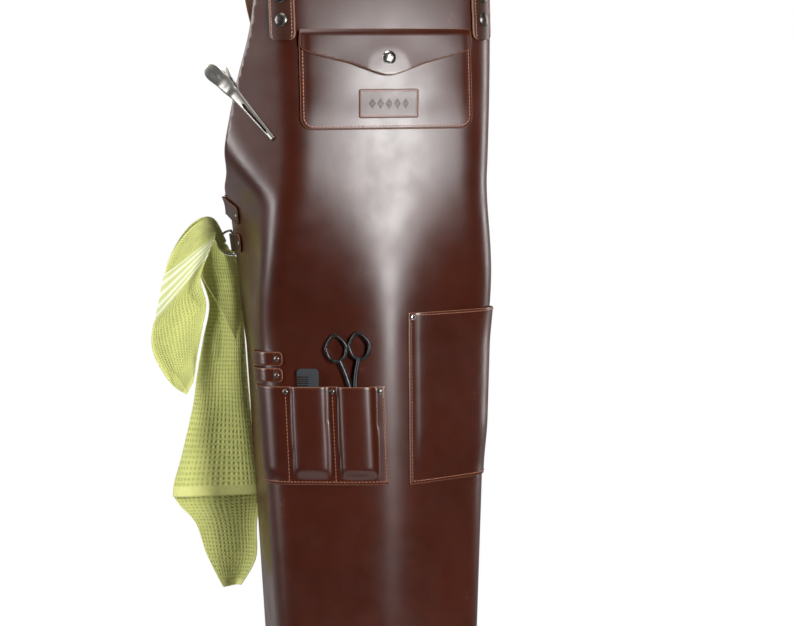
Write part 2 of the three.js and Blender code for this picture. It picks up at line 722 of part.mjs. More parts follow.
const rearRings = {};
[['left', -1], ['right', 1]].forEach(([place, side]) => {
  foldedTab(`rear_tab_${place}`, side, REAR_TAB_Z, REAR_TAB_TILT);
  rearRings[place] = ringFrame(side, REAR_TAB_Z, REAR_TAB_TILT, side * RING_TURN);
  dRing(`rear_ring_${place}`, rearRings[place], [REAR_RING_CORNER, REAR_RING_CORNER]);
});

// ---------------------------------------------------------------- shoulder straps
// A strap is rows of points across its outer face, each with the direction it faces.
function sheetFromRows(rows, thick) {
  const count = rows[0].length;
  const vertices = [];
  const index = [];
  rows.forEach((row) => row.forEach(({ p }) => vertices.push(p.x, p.y, p.z)));
  rows.forEach((row) => row.forEach(({ p, n }) => {
    const q = p.clone().addScaledVector(n, -thick);
    vertices.push(q.x, q.y, q.z);
  }));
  const half = rows.length * count;
  const at = (i, j, inner) => i * count + j + (inner ? half : 0);
  const quad = (a, b, c, d) => index.push(a, b, c, a, c, d);
  for (let i = 0; i + 1 < rows.length; i += 1) {
    for (let j = 0; j + 1 < count; j += 1) {
      quad(at(i, j), at(i, j + 1), at(i + 1, j + 1), at(i + 1, j));
      quad(at(i, j, 1), at(i + 1, j, 1), at(i + 1, j + 1, 1), at(i, j + 1, 1));
    }
    quad(at(i, 0), at(i + 1, 0), at(i + 1, 0, 1), at(i, 0, 1));
    quad(at(i, count - 1), at(i, count - 1, 1), at(i + 1, count - 1, 1), at(i + 1, count - 1));
  }
  for (let j = 0; j + 1 < count; j += 1) {
    const end = rows.length - 1;
    quad(at(0, j), at(0, j, 1), at(0, j + 1, 1), at(0, j + 1));
    quad(at(end, j), at(end, j + 1), at(end, j + 1, 1), at(end, j, 1));
  }
  const geometry = new THREE.BufferGeometry();
  geometry.setAttribute('position', new THREE.Float32BufferAttribute(vertices, 3));
  geometry.setIndex(index);
  return geometry;
}

const ACROSS = [-1, 0, 1];
const backwards = new THREE.Vector3(0, 1, 0);
const loopReach = RING_WIRE + LOOP_SLACK + STRAP_SHEET;
const strapFace = STRAP_STAND + STRAP_SHEET;

function strapRows(side, lift) {
  const rows = [];
  for (let z = STRAP_END; z < BIB_TOP; z += 14) {
    rows.push(ACROSS.map((t) => {
      const s = side * STRAP_S + t * STRAP_WIDTH / 2;
      return { p: worn(s, z, strapFace), n: normalAt(s, z) };
    }));
  }
  const front = worn(side * STRAP_S, BIB_TOP, strapFace);
  const frontFace = normalAt(side * STRAP_S, BIB_TOP);
  const ring = side > 0 ? rearRings.left : rearRings.right;
  const loopAt = ring.centre.clone().addScaledVector(ring.out, RING_DEPTH);
  const pull = ring.out.clone();
  const ringFace = ring.face.clone().multiplyScalar(Math.sign(ring.face.y) || 1);
  const stations = [
    [front, frontFace],
    [new THREE.Vector3(side * 119, front.y + 26, -88), new THREE.Vector3(side * 0.35, -0.85, 0.35)],
    [new THREE.Vector3(side * 118, -48, -26), new THREE.Vector3(side * 0.2, -0.6, 0.75)],
    [new THREE.Vector3(side * 117, 0, 0), new THREE.Vector3(0, 0, 1)],
    [new THREE.Vector3(side * 114, 52, -30), new THREE.Vector3(0, 0.65, 0.7)],
    [new THREE.Vector3(side * 109, 88, -92), new THREE.Vector3(0, 0.95, 0.3)],
    [new THREE.Vector3(side * 98, 106, -165), new THREE.Vector3(side * 0.05, 1, 0.1)],
    [new THREE.Vector3(side * 68, 116, -240), backwards],
    [new THREE.Vector3(0, CROSS_Y + lift, CROSS_Z), backwards],
    [new THREE.Vector3(-side * 62, 111, -363), new THREE.Vector3(-side * 0.25, 1, 0)],
    [loopAt.clone().addScaledVector(pull, 24).addScaledVector(ringFace, loopReach), ringFace],
  ];
  const path = new THREE.CatmullRomCurve3(stations.map(([point]) => point), false, 'centripetal');
  const count = 30;
  for (let i = 1; i <= count; i += 1) {
    const t = i / count;
    const k = Math.min(Math.floor(t * (stations.length - 1)), stations.length - 2);
    const between = smooth(t * (stations.length - 1) - k);
    const ahead = path.getTangent(t);
    const n = stations[k][1].clone().lerp(stations[k + 1][1], between);
    n.addScaledVector(ahead, -n.dot(ahead)).normalize();
    const sideways = ahead.clone().cross(n);
    const centre = path.getPoint(t);
    rows.push(ACROSS.map((a) => ({
      p: centre.clone().addScaledVector(sideways, a * STRAP_WIDTH / 2),
      n,
    })));
  }
  // round the ring's bow and back along the inside of the strap
  const sideways = pull.clone().negate().cross(ringFace).normalize();
  const loopHalf = STRAP_LOOP_WIDTH / 2;
  const turns = 10;
  for (let i = 0; i <= turns; i += 1) {
    const angle = Math.PI * i / turns;
    const n = ringFace.clone().multiplyScalar(Math.cos(angle)).addScaledVector(pull, -Math.sin(angle));
    rows.push(ACROSS.map((a) => ({
      p: loopAt.clone().addScaledVector(n, loopReach).addScaledVector(sideways, a * loopHalf),
      n,
    })));
  }
  const back = rows[rows.length - 1];
  rows.push(back.map(({ p, n }) => ({ p: p.clone().addScaledVector(pull, STRAP_LOOP_BACK), n })));
  return rows;
}

// Two straps cross behind the back under a square patch, and one rivet holds all three.
const crossLift = STRAP_SHEET + CROSS_GAP;
const crossPlace = new THREE.Vector3(0, CROSS_Y, CROSS_Z);

function drillThrough(geometry, place, direction, radius) {
  const drill = new THREE.CylinderGeometry(radius, radius, 24, 10);
  drill.applyQuaternion(new THREE.Quaternion().setFromUnitVectors(new THREE.Vector3(0, 1, 0), direction));
  drill.translate(place.x, place.y, place.z);
  return toGeometry(toSolid(geometry).subtract(toSolid(drill)));
}

function studAt(name, place, direction, from, to, finish) {
  const points = [
    [0, from - GAP - 1],
    [RIVET_HEAD, from - GAP - 1],
    [RIVET_HEAD, from - GAP],
    [RIVET_SHANK, from - GAP],
    [RIVET_SHANK, to + GAP],
    [RIVET_HEAD + 0.6, to + GAP],
    [RIVET_HEAD, to + GAP + 0.9],
    [0, to + GAP + 1.4],
  ].map(([radius, height]) => new THREE.Vector2(radius, height));
  const mesh = addMesh(name, new THREE.LatheGeometry(points, 12), finish);
  mesh.position.copy(place);
  mesh.quaternion.setFromUnitVectors(new THREE.Vector3(0, 1, 0), direction);
}

[['left', -1, 0], ['right', 1, crossLift]].forEach(([place, side, lift]) => {
  const ring = side > 0 ? rearRings.left : rearRings.right;
  const face = ring.face.clone().multiplyScalar(Math.sign(ring.face.y) || 1);
  const keeper = ring.centre.clone().addScaledVector(ring.out, RING_DEPTH + STRAP_LOOP_BACK - 6);
  const strap = drillThrough(
    sheetFromRows(strapRows(side, lift), STRAP_SHEET), crossPlace, backwards, RIVET_HOLE,
  );
  addMesh(`shoulder_strap_${place}`, drillThrough(strap, keeper, face, RIVET_HOLE), STRAP_LEATHER);
  studAt(`strap_end_rivet_${place}`, keeper, face, -loopReach, loopReach, GUNMETAL);
});

const patchFace = crossLift + 1 + CROSS_PATCH_SHEET;
const patch = new THREE.ExtrudeGeometry(
  roundedOutline(-CROSS_PATCH / 2, CROSS_Z - CROSS_PATCH / 2, CROSS_PATCH, CROSS_PATCH, 6, 6),
  { depth: CROSS_PATCH_SHEET, bevelEnabled: false, curveSegments: 4 },
);
patch.rotateX(Math.PI / 2);
patch.translate(0, CROSS_Y + patchFace, 0);
addMesh('back_cross_patch', drillThrough(patch, crossPlace, backwards, RIVET_HOLE), STRAP_LEATHER);
studAt('back_cross_rivet', crossPlace, backwards, -STRAP_SHEET, patchFace, NICKEL);

[['left', -1], ['right', 1]].forEach(([place, side]) => snapZ.forEach((z, i) => {
  const level = i ? 'upper' : 'lower';
  lathe(`strap_snap_cap_${place}_${level}`, [
    [0, strapFace + GAP],
    [SNAP_RADIUS - 0.4, strapFace + GAP],
    [SNAP_RADIUS, strapFace + GAP + 0.7],
    [SNAP_RADIUS * 0.8, strapFace + GAP + 2.2],
    [SNAP_RADIUS * 0.42, strapFace + GAP + 3],
    [0, strapFace + GAP + 3.3],
  ], side * STRAP_S, z, 0, GUNMETAL, 18);
  lathe(`bib_snap_stud_${place}_${level}`, [
    [0, -HIDE - 0.45 - 1],
    [4.5, -HIDE - 0.45 - 1],
    [4.5, -HIDE - 0.45],
    [2.6, -HIDE - 0.45],
    [2.6, STRAP_STAND - 0.8],
    [0, STRAP_STAND - 0.8],
  ], side * STRAP_S, z, 0, GUNMETAL, 12);
}));

// ---------------------------------------------------------------- hair clip on the armhole edge
// The clip's own frame: x from the pivot to the tip, y across the jaws, z out of the leather.
function clipFrame() {
  const along = radians(CLIP_ANGLE);
  const tip = [CLIP_S + CLIP_JAW * Math.cos(along), CLIP_Z - CLIP_JAW * Math.sin(along)];
  const origin = worn(CLIP_S, CLIP_Z, -HIDE / 2);
  const x = worn(...tip, -HIDE / 2).sub(origin).normalize();
  const side = worn(tip[0] + 8, tip[1] + 8, -HIDE / 2).sub(worn(tip[0] - 8, tip[1] - 8, -HIDE / 2));
  const out = x.clone().cross(side).normalize();
  return { origin, along: x, across: out.clone().cross(x), out };
}

// Half the width of a jaw at x: a round handle end, a waist at the pivot and a thin tip.
function jawHalf(x) {
  if (x < 0) {
    const fromEnd = (x + CLIP_HANDLE) / CLIP_HANDLE;
    const round = Math.sqrt(clamp01(1 - (1 - fromEnd / 0.42) ** 2 * (fromEnd < 0.42 ? 1 : 0)));
    return CLIP_WIDE / 2 * (0.25 + 0.75 * round) * (1 - 0.14 * smooth(fromEnd));
  }
  return mix(CLIP_WIDE / 2 * 0.86, CLIP_TIP / 2, clamp01(x / CLIP_JAW) ** 0.62);
}

// A jaw lies flat ahead of the pivot, humps over the pin, and its handle rises behind.
function clipJaw(name, facing) {
  const stations = [-1, -0.96, -0.88, -0.74, -0.58, -0.4, -0.22, -0.1].map((t) => t * CLIP_HANDLE);
  const ahead = [0, 0.06, 0.14, 0.22, 0.32, 0.45, 0.6, 0.8, 1].map((t) => t * CLIP_JAW);
  const rows = [...stations, ...ahead].map((x) => {
    const hump = 1.9 * smooth((x + 12) / 10) * smooth((11 - x) / 8);
    const rise = CLIP_SPREAD * smooth(-x / CLIP_HANDLE) + hump;
    return [-1, 0, 1].map((t) => ({
      p: new THREE.Vector3(x, -t * jawHalf(x) * facing, (HIDE / 2 + CLIP_GAP + rise + CLIP_SHEET) * facing),
      n: new THREE.Vector3(0, 0, facing),
    }));
  });
  const mesh = addMesh(name, sheetFromRows(rows, CLIP_SHEET), GUNMETAL);
  const frame = clipFrame();
  setFrame(mesh, frame.origin, frame.along, frame.across, frame.out);
}

clipJaw('clip_upper_jaw', 1);
clipJaw('clip_lower_jaw', -1);

// A pin and a coil turn about the clip's own y axis.
function clipTurning(name, profile, finish) {
  const points = profile.map(([radius, height]) => new THREE.Vector2(radius, height));
  const mesh = addMesh(name, new THREE.LatheGeometry(points, 12), finish);
  const frame = clipFrame();
  setFrame(mesh, frame.origin, frame.along, frame.across, frame.out);
}

const pinHalf = CLIP_WIDE / 2 - 2.5;
clipTurning('clip_pin', [[0, -pinHalf], [1.1, -pinHalf], [1.1, pinHalf], [0, pinHalf]], NICKEL);
clipTurning('clip_spring', [[1.5, -4], [2.3, -4], [2.3, 4], [1.5, 4], [1.5, -4]], NICKEL);

// ---------------------------------------------------------------- scissors
// Their own frame: x across, y towards the finger rings, z out of the leather.
function scissorsFrame() {
  const out = normalAt(SCISSOR_S, SCISSOR_PIVOT_Z);
  const across = worn(SCISSOR_S + 1, SCISSOR_PIVOT_Z).sub(worn(SCISSOR_S - 1, SCISSOR_PIVOT_Z)).normalize();
  across.applyAxisAngle(out, radians(SCISSOR_TILT));
  across.addScaledVector(out, -across.dot(out)).normalize();
  const seat = worn(SCISSOR_S, SCISSOR_PIVOT_Z);
  const proud = [-1, 0, 1].flatMap((side) => [RING_RISE + RING_TALL, RING_RISE, 0, -SCISSOR_BLADE].map((up) => (
    worn(SCISSOR_S + side * (RING_SPREAD + RING_HALF), SCISSOR_PIVOT_Z + up).sub(seat).dot(out)
  )));
  const origin = worn(SCISSOR_S, SCISSOR_PIVOT_Z, SCISSOR_CLEAR + Math.max(...proud));
  return { origin, across, up: out.clone().cross(across), out };
}

// A pointed oval, the shape of a finger ring.
function pointedOval(target, x, y, half, tall) {
  target.moveTo(x, y + tall);
  target.bezierCurveTo(x - half * 0.7, y + tall * 0.8, x - half * 1.15, y + tall * 0.2, x - half, y - tall * 0.15);
  target.bezierCurveTo(x - half * 0.9, y - tall * 0.7, x - half * 0.4, y - tall, x, y - tall);
  target.bezierCurveTo(x + half * 0.4, y - tall, x + half * 0.9, y - tall * 0.7, x + half, y - tall * 0.15);
  target.bezierCurveTo(x + half * 1.15, y + tall * 0.2, x + half * 0.7, y + tall * 0.8, x, y + tall);
  return target;
}

function scissorHalf(name, side, layer) {
  const x = side * RING_SPREAD;
  const bow = pointedOval(new THREE.Shape(), x, RING_RISE, RING_HALF, RING_TALL);
  bow.holes.push(pointedOval(new THREE.Path(), x, RING_RISE, RING_HALF - RING_BAND, RING_TALL - RING_BAND));
  const shank = new THREE.Shape();
  shank.moveTo(x - side * 6.5, RING_RISE - RING_TALL + 3);
  shank.lineTo(x + side * 1.5, RING_RISE - RING_TALL + 1.5);
  shank.lineTo(side * 4.2, 16);
  shank.lineTo(side * 4.6, 0);
  shank.lineTo(0, -6);
  shank.lineTo(-side * 4.6, 0);
  shank.lineTo(-side * 0.6, 14);
  shank.lineTo(side * 1.2, 26);
  const blade = new THREE.Shape();
  blade.moveTo(side * 4.4, 2);
  blade.lineTo(-side * 4.6, 0);
  blade.quadraticCurveTo(-side * 5.6, -SCISSOR_BLADE * 0.6, -side * 0.8, -SCISSOR_BLADE);
  blade.lineTo(side * 0.8, -SCISSOR_BLADE + 3);
  const make = (shape) => toSolid(new THREE.ExtrudeGeometry(shape, {
    depth: SCISSOR_SHEET, bevelEnabled: false, curveSegments: 5,
  }));
  const drill = new THREE.CylinderGeometry(1.9, 1.9, 20, 12);
  drill.rotateX(Math.PI / 2);
  const solid = make(bow).add(make(shank)).add(make(blade)).subtract(toSolid(drill));
  const geometry = toGeometry(solid);
  geometry.translate(0, 0, layer);
  const mesh = addMesh(name, geometry, BLACK_IRON);
  const frame = scissorsFrame();
  setFrame(mesh, frame.origin, frame.across, frame.up, frame.out);
}

scissorHalf('scissor_half_left', -1, 0);
scissorHalf('scissor_half_right', 1, SCISSOR_SHEET + GAP);

const screwTop = 2 * SCISSOR_SHEET + GAP * 2;
const screw = [
  [0, -1.2],
  [3.4, -1.2],
  [3.4, -GAP],
  [1.5, -GAP],
  [1.5, screwTop],
  [3.6, screwTop],
  [3.2, screwTop + 1],
  [0, screwTop + 1.2],
];
const screwMesh = addMesh('scissor_screw', new THREE.LatheGeometry(
  screw.map(([radius, height]) => new THREE.Vector2(radius, height)), 14,
), GUNMETAL);
const scissors = scissorsFrame();
setFrame(screwMesh, scissors.origin, scissors.across.clone().negate(), scissors.out, scissors.up);

// ---------------------------------------------------------------- comb
// A plate with a solid back, a rounded head and a row of teeth down one side.
function combOutline() {
  const half = COMB_WIDTH / 2;
  const tooth = COMB_PITCH * 0.55;
  const shape = new THREE.Shape();
  const root = -half + COMB_WIDTH * 0.55;
  shape.moveTo(half - 4, 0);
  shape.absarc(half - 5, -5, 5, Math.PI / 2, 0, true);
  shape.lineTo(half, -COMB_LENGTH + 4);
  shape.absarc(half - 4, -COMB_LENGTH + 4, 4, 0, -Math.PI / 2, true);
  shape.lineTo(-half + 2, -COMB_LENGTH);
  shape.lineTo(-half, -COMB_LENGTH + 2);
  const first = -COMB_LENGTH + 8;
  const count = Math.floor((COMB_LENGTH - 18) / COMB_PITCH);
  for (let i = 0; i < count; i += 1) {
    const y = first + i * COMB_PITCH;
    shape.lineTo(-half, y);
    shape.lineTo(root, y);
    shape.lineTo(root, y + COMB_PITCH - tooth);
    shape.lineTo(-half, y + COMB_PITCH - tooth);
  }
  shape.lineTo(-half, -5);
  shape.absarc(-half + 5, -5, 5, Math.PI, Math.PI / 2, true);
  return shape;
}

const combS = TOOL_RIGHT - TOOL_SEAM - 1.5 * TOOL_PITCH;
const combFace = normalAt(combS, COMB_TOP - 40);
const combAcross = worn(combS + 1, COMB_TOP - 40).sub(worn(combS - 1, COMB_TOP - 40)).normalize();
combAcross.addScaledVector(combFace, -combAcross.dot(combFace)).normalize();
const comb = new THREE.ExtrudeGeometry(combOutline(), { depth: COMB_SHEET, bevelEnabled: false, curveSegments: 3 });
comb.deleteAttribute('normal');
const combMesh = addMesh('comb', comb, BLACK_PLASTIC);
setFrame(
  combMesh,
  worn(combS, COMB_TOP - 40, COMB_STAND).addScaledVector(combFace.clone().cross(combAcross), 40),
  combAcross, combFace.clone().cross(combAcross), combFace,
);

// ---------------------------------------------------------------- towel
// One closed, gathered bundle: a short tail in front of the ring, a neck through it, a long tail behind.
function gathered(stations, around) {
  const vertices = [];
  const index = [];
  stations.forEach(({ at: [u, v, z], wide, thick, tip }) => {
    const centre = towelPoint(u, v, z);
    const through = new THREE.Vector3(0, 0, Math.sin(radians(tip)));
    through.addScaledVector(towelAway, Math.cos(radians(tip)));
    for (let k = 0; k < around; k += 1) {
      const angle = 2 * Math.PI * k / around;
      const p = centre.clone().addScaledVector(towelRight, wide / 2 * Math.cos(angle));
      p.addScaledVector(through, thick / 2 * Math.sin(angle));
      vertices.push(p.x, p.y, p.z);
    }
  });
  const last = (stations.length - 1) * around;
  for (let i = 0; i + 1 < stations.length; i += 1) {
    for (let k = 0; k < around; k += 1) {
      const next = (k + 1) % around;
      const [a, b, c, d] = [i * around + k, i * around + next, (i + 1) * around + next, (i + 1) * around + k];
      index.push(a, b, c, a, c, d);
    }
  }
  for (let k = 1; k + 1 < around; k += 1) {
    index.push(0, k + 1, k);
    index.push(last, last + k, last + k + 1);
  }
  const geometry = new THREE.BufferGeometry();
  geometry.setAttribute('position', new THREE.Float32BufferAttribute(vertices, 3));
  geometry.setIndex(index);
  return geometry;
}

// The towel's own frame starts at the middle of the ring's opening: u along the ring, v through it.
const towelRight = new THREE.Vector3(-towelRing.out.x, -towelRing.out.y, 0).normalize();
const towelAway = new THREE.Vector3(-towelRight.y, towelRight.x, 0);
const ringMiddle = towelRing.centre.clone().addScaledVector(towelRing.out, RING_DEPTH * 0.52);
function towelPoint(u, v, z) {
  const spot = ringMiddle.clone().addScaledVector(towelRight, u).addScaledVector(towelAway, v);
  return spot.setZ(spot.z + z);
}

const neckWide = RING_DEPTH - RING_WIRE * 2 - 4;
addMesh('towel', gathered([
  { at: [-46, -34, -TOWEL_TAIL], wide: 20, thick: 10, tip: 0 },
  { at: [-58, -34, -TOWEL_TAIL * 0.8], wide: 46, thick: 16, tip: 0 },
  { at: [-54, -32, -TOWEL_TAIL * 0.5], wide: 56, thick: 18, tip: 0 },
  { at: [-44, -27, -TOWEL_TAIL * 0.22], wide: 52, thick: 18, tip: 0 },
  { at: [-14, -19, -4], wide: 28, thick: 14, tip: 30 },
  { at: [-4, -12, 6], wide: 16, thick: 14, tip: 60 },
  { at: [0, 0, 5], wide: neckWide, thick: 15, tip: 90 },
  { at: [-4, 12, 6], wide: 22, thick: 15, tip: 120 },
  { at: [-12, 22, -4], wide: 36, thick: 16, tip: 150 },
  { at: [-20, 24, -40], wide: 54, thick: 18, tip: 180 },
  { at: [-26, 22, -TOWEL_DROP * 0.3], wide: 70, thick: TOWEL_THICK, tip: 180 },
  { at: [-30, 20, -TOWEL_DROP * 0.62], wide: TOWEL_WIDTH, thick: TOWEL_THICK, tip: 180 },
  { at: [-24, 20, -TOWEL_DROP * 0.8], wide: TOWEL_WIDTH * 0.75, thick: TOWEL_THICK * 0.8, tip: 180 },
  { at: [-14, 20, -TOWEL_DROP], wide: 24, thick: 8, tip: 180 },
], 12), WAFFLE_COTTON);

export default part;
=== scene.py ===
"""A leather work apron in its worn form, with its hardware, tools and towel."""

import math

import bpy
import numpy as np
from bpy.props import FloatProperty, FloatVectorProperty, PointerProperty
from mathutils import Matrix, Vector
from mathutils.geometry import delaunay_2d_cdt


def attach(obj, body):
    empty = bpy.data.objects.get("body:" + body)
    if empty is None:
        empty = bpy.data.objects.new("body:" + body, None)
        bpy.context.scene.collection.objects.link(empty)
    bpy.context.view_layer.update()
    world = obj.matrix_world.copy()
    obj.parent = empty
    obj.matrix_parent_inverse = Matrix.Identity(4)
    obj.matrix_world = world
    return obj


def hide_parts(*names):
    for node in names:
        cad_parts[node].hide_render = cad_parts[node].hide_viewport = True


bl_info = {
    "name": "Leather Work Apron",
    "version": (1, 0, 0),
    "blender": (4, 5, 0),
    "location": "3D View > Sidebar > Apron",
    "description": "Builds the looks of a worn leather apron round its packed frame",
    "category": "Object",
}

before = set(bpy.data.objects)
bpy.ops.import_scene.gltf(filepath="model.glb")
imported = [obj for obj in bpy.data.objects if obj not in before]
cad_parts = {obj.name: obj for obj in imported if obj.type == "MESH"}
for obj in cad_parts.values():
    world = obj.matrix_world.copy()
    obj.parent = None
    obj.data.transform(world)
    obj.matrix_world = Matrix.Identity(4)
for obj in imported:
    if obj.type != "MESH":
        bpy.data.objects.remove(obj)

# ---------------------------------------------------------------- sizes in millimetres
MM = 0.001
BIB_TOP, APRON_LENGTH, BIB_HALF, SKIRT_HALF, ARMHOLE_DROP = -140, 860, 152, 280, 290
HIDE, GAP, FRONT = 2.0, 0.3, 125
POCKET_HALF, POCKET_TOP, POCKET_BOTTOM, POCKET_CORNER = 101, -206, -313, 14
SHEET, BACKING, POCKET_ROOM = 1.6, 1.2, 6
FLAP_TOP, FLAP_SIDE, FLAP_DROP, FLAP_HALF, FLAP_SNAP_Z = -199, 18, 53, 100, -232
LABEL_WIDTH, LABEL_HEIGHT, LABEL_Z = 70, 33, -284
TOOL_RIGHT, TOOL_PITCH, TOOL_SEAM, TOOL_TOP, TOOL_HEIGHT, TOOL_SLANT = -7, 55, 6, -607, 114, 0.035
BAY_ROOM = (9.6, 6.3, 2)
LOOP_HEIGHT, LOOP_PITCH, LOOP_RIGHT, LOOP_ROOM = 16, 50, -133, 4
LOOP_Z = (-575, -594)
SIDE_LEFT, SIDE_WIDTH, SIDE_TOP, SIDE_HEIGHT, SIDE_ROOM = 22, 158, -524, 199, 7
STRAP_S, STRAP_WIDTH, STRAP_SHEET, STRAP_END, STRAP_STAND = 119, 29, 2.6, -211, 2.2
SNAP_Z = (-188, -161)
SNAP_RADIUS = 7.75
CROSS_Z, CROSS_Y, STRAP_LOOP, STRAP_BACK, LOOP_SLACK = -322, 118, 19, 26, 2.2
RING_WIRE, RING_BAR, RING_DEPTH = 1.5, 30, 18
TAB_HEIGHT, TAB_SHEET, TAB_GAP, TAB_REACH, TAB_RIVET, TAB_PAST = 22, 1.6, 1.1, 52, 34, 7
TOWEL_TAB_Z, REAR_TAB_Z, REAR_TILT, RING_TURN, TOWEL_TURN = -444, -402, 16, 72, 76
RIVET_LAND = 6.5
CLIP_JAW, CLIP_HANDLE, CLIP_WIDE, CLIP_TIP, CLIP_SPREAD, CLIP_GAP = 84, 33, 20, 6, 11, 0.9
CLIP_ANGLE, CLIP_S, CLIP_Z = 46, -193, -262
SCISSOR_S, SCISSOR_Z, SCISSOR_BLADE, SCISSOR_TILT, SCISSOR_STAND = -41, -634, 64, 5.6, 2.6
COMB_LENGTH, COMB_WIDTH, COMB_TOP, COMB_STAND, COMB_PITCH = 112, 25.5, -586, 2, 5


# ---------------------------------------------------------------- the worn surface
def smooth(t):
    t = np.clip(t, 0, 1)
    return t * t * (3 - 2 * t)


def mix(a, b, t):
    return a + (b - a) * t


def unit(v):
    v = np.asarray(v, float)
    return v / np.maximum(np.linalg.norm(v, axis=-1, keepdims=True), 1e-9)


def turn(s, z):
    """The angle that the hide has turned through at width s and height z."""
    low = smooth((-360 - z) / 200)
    stretch = 1 + 0.118 * (z + 600) / 300
    roll = np.where(s < 0, 7 * np.exp(-((z + 400) / 60) ** 2), 0)
    start = mix(74, 114, low) * stretch + roll
    a = np.abs(s)
    bow = np.radians(5.34) * (1 - low) * a / 100
    folded = smooth((-350 - z) / 220)
    ridge = np.radians(26) * folded * np.tanh(a / mix(90, 36, folded))
    side = np.radians(70) * smooth((a - start) / (70 * stretch))
    hold = mix(60, 180, smooth((z + 470) / 180))
    flare = np.radians(mix(44, 110, smooth((a - hold) / 110)))
    angle = bow + ridge + side
    eased = (angle + flare - np.hypot(angle - flare, np.radians(6))) / 2
    return np.where(s < 0, -eased, angle)


def worn(s, z, d=0.0):
    """Points d outside the hide's outer face at widths s and heights z."""
    s, z, d = np.broadcast_arrays(np.asarray(s, float), np.asarray(z, float), np.asarray(d, float))
    x, y = np.zeros(s.shape), np.zeros(s.shape)
    slices = 40
    for i in range(slices):
        angle = turn(s * (i + 0.5) / slices, z)
        x += np.cos(angle) * s / slices
        y += np.sin(angle) * s / slices
    end = turn(s, z)
    back = 14 * np.maximum((z + 330) / 190, 0) ** 2
    return np.stack([x + 0.0078 * (z + 450) + np.sin(end) * d, y - FRONT + back - np.cos(end) * d, z], -1)


def face_at(s, z):
    along = worn(s + 1, z) - worn(s - 1, z)
    up = worn(s, np.asarray(z) + 1) - worn(s, np.asarray(z) - 1)
    return unit(np.cross(along, up))


def across_at(s, z):
    return unit(worn(s + 1, z) - worn(s - 1, z))


def swell(value, low, high):
    """A full, flat-topped swell between two sides, nothing at the sides themselves."""
    across = np.clip((value - low) / (high - low), 0, 1) * 2 - 1
    return np.sqrt(np.maximum(1 - np.abs(across) ** 3, 0))


# ---------------------------------------------------------------- pieces
def add_piece(name, verts, faces, body, material, replaced=(), flat=None, marks=None):
    """A mesh from points in millimetres, riding on a body, with its flat pattern as a UV map."""
    mesh = bpy.data.meshes.new(name)
    mesh.from_pydata([tuple(v) for v in np.asarray(verts, float) * MM], [],
        [tuple(int(i) for i in f) for f in faces])
    mesh.polygons.foreach_set("use_smooth", [True] * len(mesh.polygons))
    if flat is not None:
        corner = np.zeros(len(mesh.loops), int)
        mesh.loops.foreach_get("vertex_index", corner)
        layer = mesh.uv_layers.new(name="pattern")
        layer.data.foreach_set("uv", (np.asarray(flat, float)[corner] * MM).ravel())
    for label, values in (marks or {}).items():
        mesh.attributes.new(label, "FLOAT", "POINT").data.foreach_set("value", np.asarray(values, float))
    piece = bpy.data.objects.new(name, mesh)
    bpy.context.scene.collection.objects.link(piece)
    return finish_piece(piece, body, material, replaced)


def finish_piece(piece, body, material, replaced=()):
    piece.data.materials.clear()
    piece.data.materials.append(material)
    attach(piece, body)
    if replaced:
        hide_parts(*replaced)
    return piece


def apply_modifiers(piece):
    bpy.ops.object.select_all(action="DESELECT")
    piece.select_set(True)
    bpy.context.view_layer.objects.active = piece
    for modifier in list(piece.modifiers):
        bpy.ops.object.modifier_apply(modifier=modifier.name)


def spline(points, count, closed=False):
    """Evenly read points on a Catmull-Rom curve through the given points, of any dimension."""
    p = np.asarray(points, float)
    n = len(p)
    spans = n if closed else n - 1
    t = np.linspace(0, spans, count, endpoint=not closed)
    k = np.minimum(t.astype(int), spans - 1)
    f = (t - k)[:, None]
    pick = (lambda i: p[i % n]) if closed else (lambda i: p[np.clip(i, 0, n - 1)])
    a, b, c, d = pick(k - 1), pick(k), pick(k + 1), pick(k + 2)
    v0, v1 = (c - a) / 2, (d - b) / 2
    return (2 * b - 2 * c + v0 + v1) * f**3 + (-3 * b + 3 * c - 2 * v0 - v1) * f**2 + v0 * f + b


def even(points, step, closed=True):
    """The same line with points about one step apart, its corners kept."""
    p = np.asarray(points, float)
    ends = np.roll(p, -1, 0) if closed else p[1:]
    out = []
    for a, b in zip(p, ends):
        count = max(1, int(round(np.linalg.norm(b - a) / step)))
        out.extend(a + (b - a) * i / count for i in range(count))
    if not closed:
        out.append(p[-1])
    return np.array(out)


def inside(points, loop):
    x, y = points[:, 0], points[:, 1]
    result = np.zeros(len(points), bool)
    for a, b in zip(loop, np.roll(loop, -1, 0)):
        if a[1] == b[1]:
            continue
        crosses = (a[1] > y) != (b[1] > y)
        result ^= crosses & (x < (b[0] - a[0]) * (y - a[1]) / (b[1] - a[1]) + a[0])
    return result


def distance(points, loop):
    best = np.full(len(points), 1e9)
    for at in range(0, len(points), 4000):
        chunk = points[at:at + 4000]
        best[at:at + 4000] = np.sqrt(((chunk[:, None] - loop[None]) ** 2).sum(-1)).min(1)
    return best


def loop_out(loop):
    ahead = np.roll(loop, -1, 0) - np.roll(loop, 1, 0)
    return unit(np.stack([ahead[:, 1], -ahead[:, 0]], -1))


def area_of(loop):
    x, y = loop[:, 0], loop[:, 1]
    return 0.5 * float(np.sum(x * np.roll(y, -1) - y * np.roll(x, -1)))


